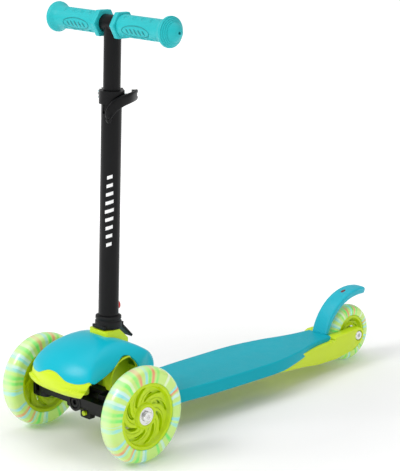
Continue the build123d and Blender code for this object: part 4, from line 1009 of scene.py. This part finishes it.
def trimmed(node, name, size, place):
    """Copy of a node with a box cut away, made to stand in for the node."""
    source = frame["nodes"][node]
    piece = bpy.data.objects.new(name, source.data.copy())
    bpy.context.scene.collection.objects.link(piece)
    put(piece, source.matrix_world.copy())
    tidy_mesh(piece, 0.001)
    clear_selection()
    bpy.ops.mesh.primitive_cube_add(size=1)
    box = bpy.context.object
    put(box, place @ Matrix.Diagonal((*[side * MM for side in size], 1)))
    cut(piece, box)
    return piece


class SCOOTER_OT_trims(bpy.types.Operator):
    """Round the foot of the stem's collar and slope the back of the chassis riser"""

    bl_idname = "scooter.trims"
    bl_label = "Collar and chassis"

    def execute(self, context):
        front = (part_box("stem_collar")[0].y - AXLE_Y) / MM
        below = Matrix.Translation(mm(0, front - 14.5, 136.5))
        collar = trimmed("stem_collar", "socket_collar", (60, 40, 26), below)
        soften(collar, 0.9, 40, 3)
        mount(collar, body_of("stem_collar"), "black_plastic", MATERIALS["black_plastic"], "stem_collar")
        slope = Matrix.Translation(mm(0, 105.0, 94.2)) @ Matrix.Rotation(radians(-51.5), 4, "X")
        chassis = trimmed("chassis", "chassis_frame", (90, 70, 60), slope)
        soften(chassis, 0.5, 40)
        mount(chassis, "chassis", "lime_plastic", MATERIALS["lime"], "chassis")
        return {"FINISHED"}


# ---- stem marks ----
class SCOOTER_OT_stem_marks(bpy.types.Operator):
    """Print a column of plain slanted bars on the lower stem"""

    bl_idname = "scooter.stem_marks"
    bl_label = "Stem marks"

    def execute(self, context):
        radius = 12.56
        marks = []

        def wrapped(across, up):
            angle = across / radius
            return Vector((radius * MM * cos(angle), radius * MM * sin(angle), up * MM))

        for index in range(9):
            def mark(u, v, up=100.0 + index * 10.4, wide=11.0 - 1.1 * abs(index - 4)):
                across = (u - 0.5) * wide
                return wrapped(across, up + (v - 0.5) * 4.2 + across * 0.35)
            marks.append(shaped_grid("mark", 16, 2, mark))
        printed = join(marks, "stem_marks")
        modify(printed, "SOLIDIFY", thickness=0.0001, offset=1)
        put(printed, stem_place(0.0, -CLAMP_TURN))
        mount(printed, "lower_stem", "black_paint", MATERIALS["white_print"])
        return {"FINISHED"}


# ---- CAD nodes that stay, and the stage ----
class SCOOTER_OT_hardware(bpy.types.Operator):
    """Give every piece that stays from the frame its finish"""

    bl_idname = "scooter.hardware"
    bl_label = "Hardware"

    def execute(self, context):
        for row in frame["record"]["subparts"]:
            node = frame["nodes"][row["node"]]
            finish = MATERIALS[SLOT_FINISH[row["material_slot"]]]
            if not node.data.materials:
                node.data.materials.append(finish)
            for index in range(len(node.data.materials)):
                node.data.materials[index] = finish
        return {"FINISHED"}


class SCOOTER_OT_stage(bpy.types.Operator):
    """Set up the pale floor, the soft lights and the camera"""

    bl_idname = "scooter.stage"
    bl_label = "Stage"

    def add_light(self, name, place, target, size, power):
        data = bpy.data.lights.new(name, "AREA")
        data.shape = "RECTANGLE"
        data.size, data.size_y = size
        data.energy = power
        light = bpy.data.objects.new(name, data)
        bpy.context.scene.collection.objects.link(light)
        light.location = place
        light.rotation_euler = (Vector(target) - Vector(place)).to_track_quat("-Z", "Y").to_euler()

    def execute(self, context):
        clear_selection()
        bpy.ops.mesh.primitive_plane_add(size=24)
        floor_piece = context.object
        floor_piece.name = "floor"
        pale, tree, shader = shader_material("pale_floor")
        shader.inputs["Base Color"].default_value = (0.93, 0.93, 0.93, 1)
        shader.inputs["Roughness"].default_value = 0.7
        reach = tree.nodes.new("ShaderNodeVectorMath")
        reach.operation = "LENGTH"
        tree.links.new(object_place(tree), reach.inputs[0])
        far = map_range(tree, reach.outputs["Value"], 0.2, 1.1)
        far.inputs["To Max"].default_value = 0.6
        tree.links.new(far.outputs["Result"], shader.inputs["Emission Strength"])
        shader.inputs["Emission Color"].default_value = (1, 1, 1, 1)
        floor_piece.data.materials.append(pale)

        world = bpy.data.worlds.new("studio")
        world.use_nodes = True
        sky = world.node_tree.nodes["Background"]
        sky.inputs["Color"].default_value = (1, 1, 1, 1)
        seen = world.node_tree.nodes.new("ShaderNodeLightPath").outputs["Is Camera Ray"]
        strength = math_node(world.node_tree, "MULTIPLY_ADD", seen, 0.6, 0.5)
        world.node_tree.links.new(strength, sky.inputs["Strength"])
        context.scene.world = world
        context.scene.view_settings.view_transform = "Standard"
        self.add_light("key", (-0.6, -2.2, 2.2), (0, 0, 0.2), (1.2, 1.2), 42)
        self.add_light("fill", (2.6, 0.2, 1.6), (0, 0, 0.2), (1.6, 1.6), 9)
        self.add_light("top", (0.0, 0.2, 2.6), (0, 0, 0), (2.4, 2.4), 20)

        azimuth, pitch, roll = radians(45.44), radians(14.16), radians(0.30)
        ahead = Vector((-sin(azimuth) * cos(pitch), cos(azimuth) * cos(pitch), -sin(pitch)))
        level = Vector((cos(azimuth), sin(azimuth), 0))
        upright = level.cross(ahead)
        right = cos(roll) * level + sin(roll) * upright
        up = cos(roll) * upright - sin(roll) * level
        data = bpy.data.cameras.new("camera")
        data.lens = 132.2
        camera = bpy.data.objects.new("camera", data)
        context.scene.collection.objects.link(camera)
        turned = Matrix((right, up, -ahead)).transposed().to_4x4()
        camera.matrix_world = Matrix.Translation(mm(1534.6, -1323.2, 774.9)) @ turned
        context.scene.camera = camera
        return {"FINISHED"}


class SCOOTER_PT_panel(bpy.types.Panel):
    """Buttons that build the scooter's pieces"""

    bl_idname = "SCOOTER_PT_panel"
    bl_label = "Kick scooter"
    bl_space_type = "VIEW_3D"
    bl_region_type = "UI"
    bl_category = "Scooter"

    def draw(self, context):
        for group in (context.scene.scooter_shape, context.scene.scooter_finish):
            for name in group.__annotations__:
                self.layout.prop(group, name)
        for operator in OPERATORS:
            self.layout.operator(operator.bl_idname)


OPERATORS = (SCOOTER_OT_hardware, SCOOTER_OT_nose, SCOOTER_OT_deck, SCOOTER_OT_fender, SCOOTER_OT_wheels,
             SCOOTER_OT_grips, SCOOTER_OT_lever, SCOOTER_OT_trims, SCOOTER_OT_stem_marks, SCOOTER_OT_stage)
CLASSES = (ScooterFinish, ScooterShape, *OPERATORS, SCOOTER_PT_panel)


def register():
    """Add the classes and the scene's settings."""
    for each in CLASSES:
        bpy.utils.register_class(each)
    bpy.types.Scene.scooter_finish = PointerProperty(type=ScooterFinish)
    bpy.types.Scene.scooter_shape = PointerProperty(type=ScooterShape)


def unregister():
    """Take the classes and the settings away again."""
    del bpy.types.Scene.scooter_shape
    del bpy.types.Scene.scooter_finish
    for each in reversed(CLASSES):
        bpy.utils.unregister_class(each)


def main():
    """Build every piece."""
    register()
    MATERIALS.update(make_materials(bpy.context.scene.scooter_finish))
    bpy.ops.scooter.hardware()
    bpy.ops.scooter.nose()
    bpy.ops.scooter.deck()
    bpy.ops.scooter.fender()
    bpy.ops.scooter.wheels()
    bpy.ops.scooter.grips()
    bpy.ops.scooter.lever()
    bpy.ops.scooter.trims()
    bpy.ops.scooter.stem_marks()
    bpy.ops.scooter.stage()


if __name__ == "__main__":
    main()
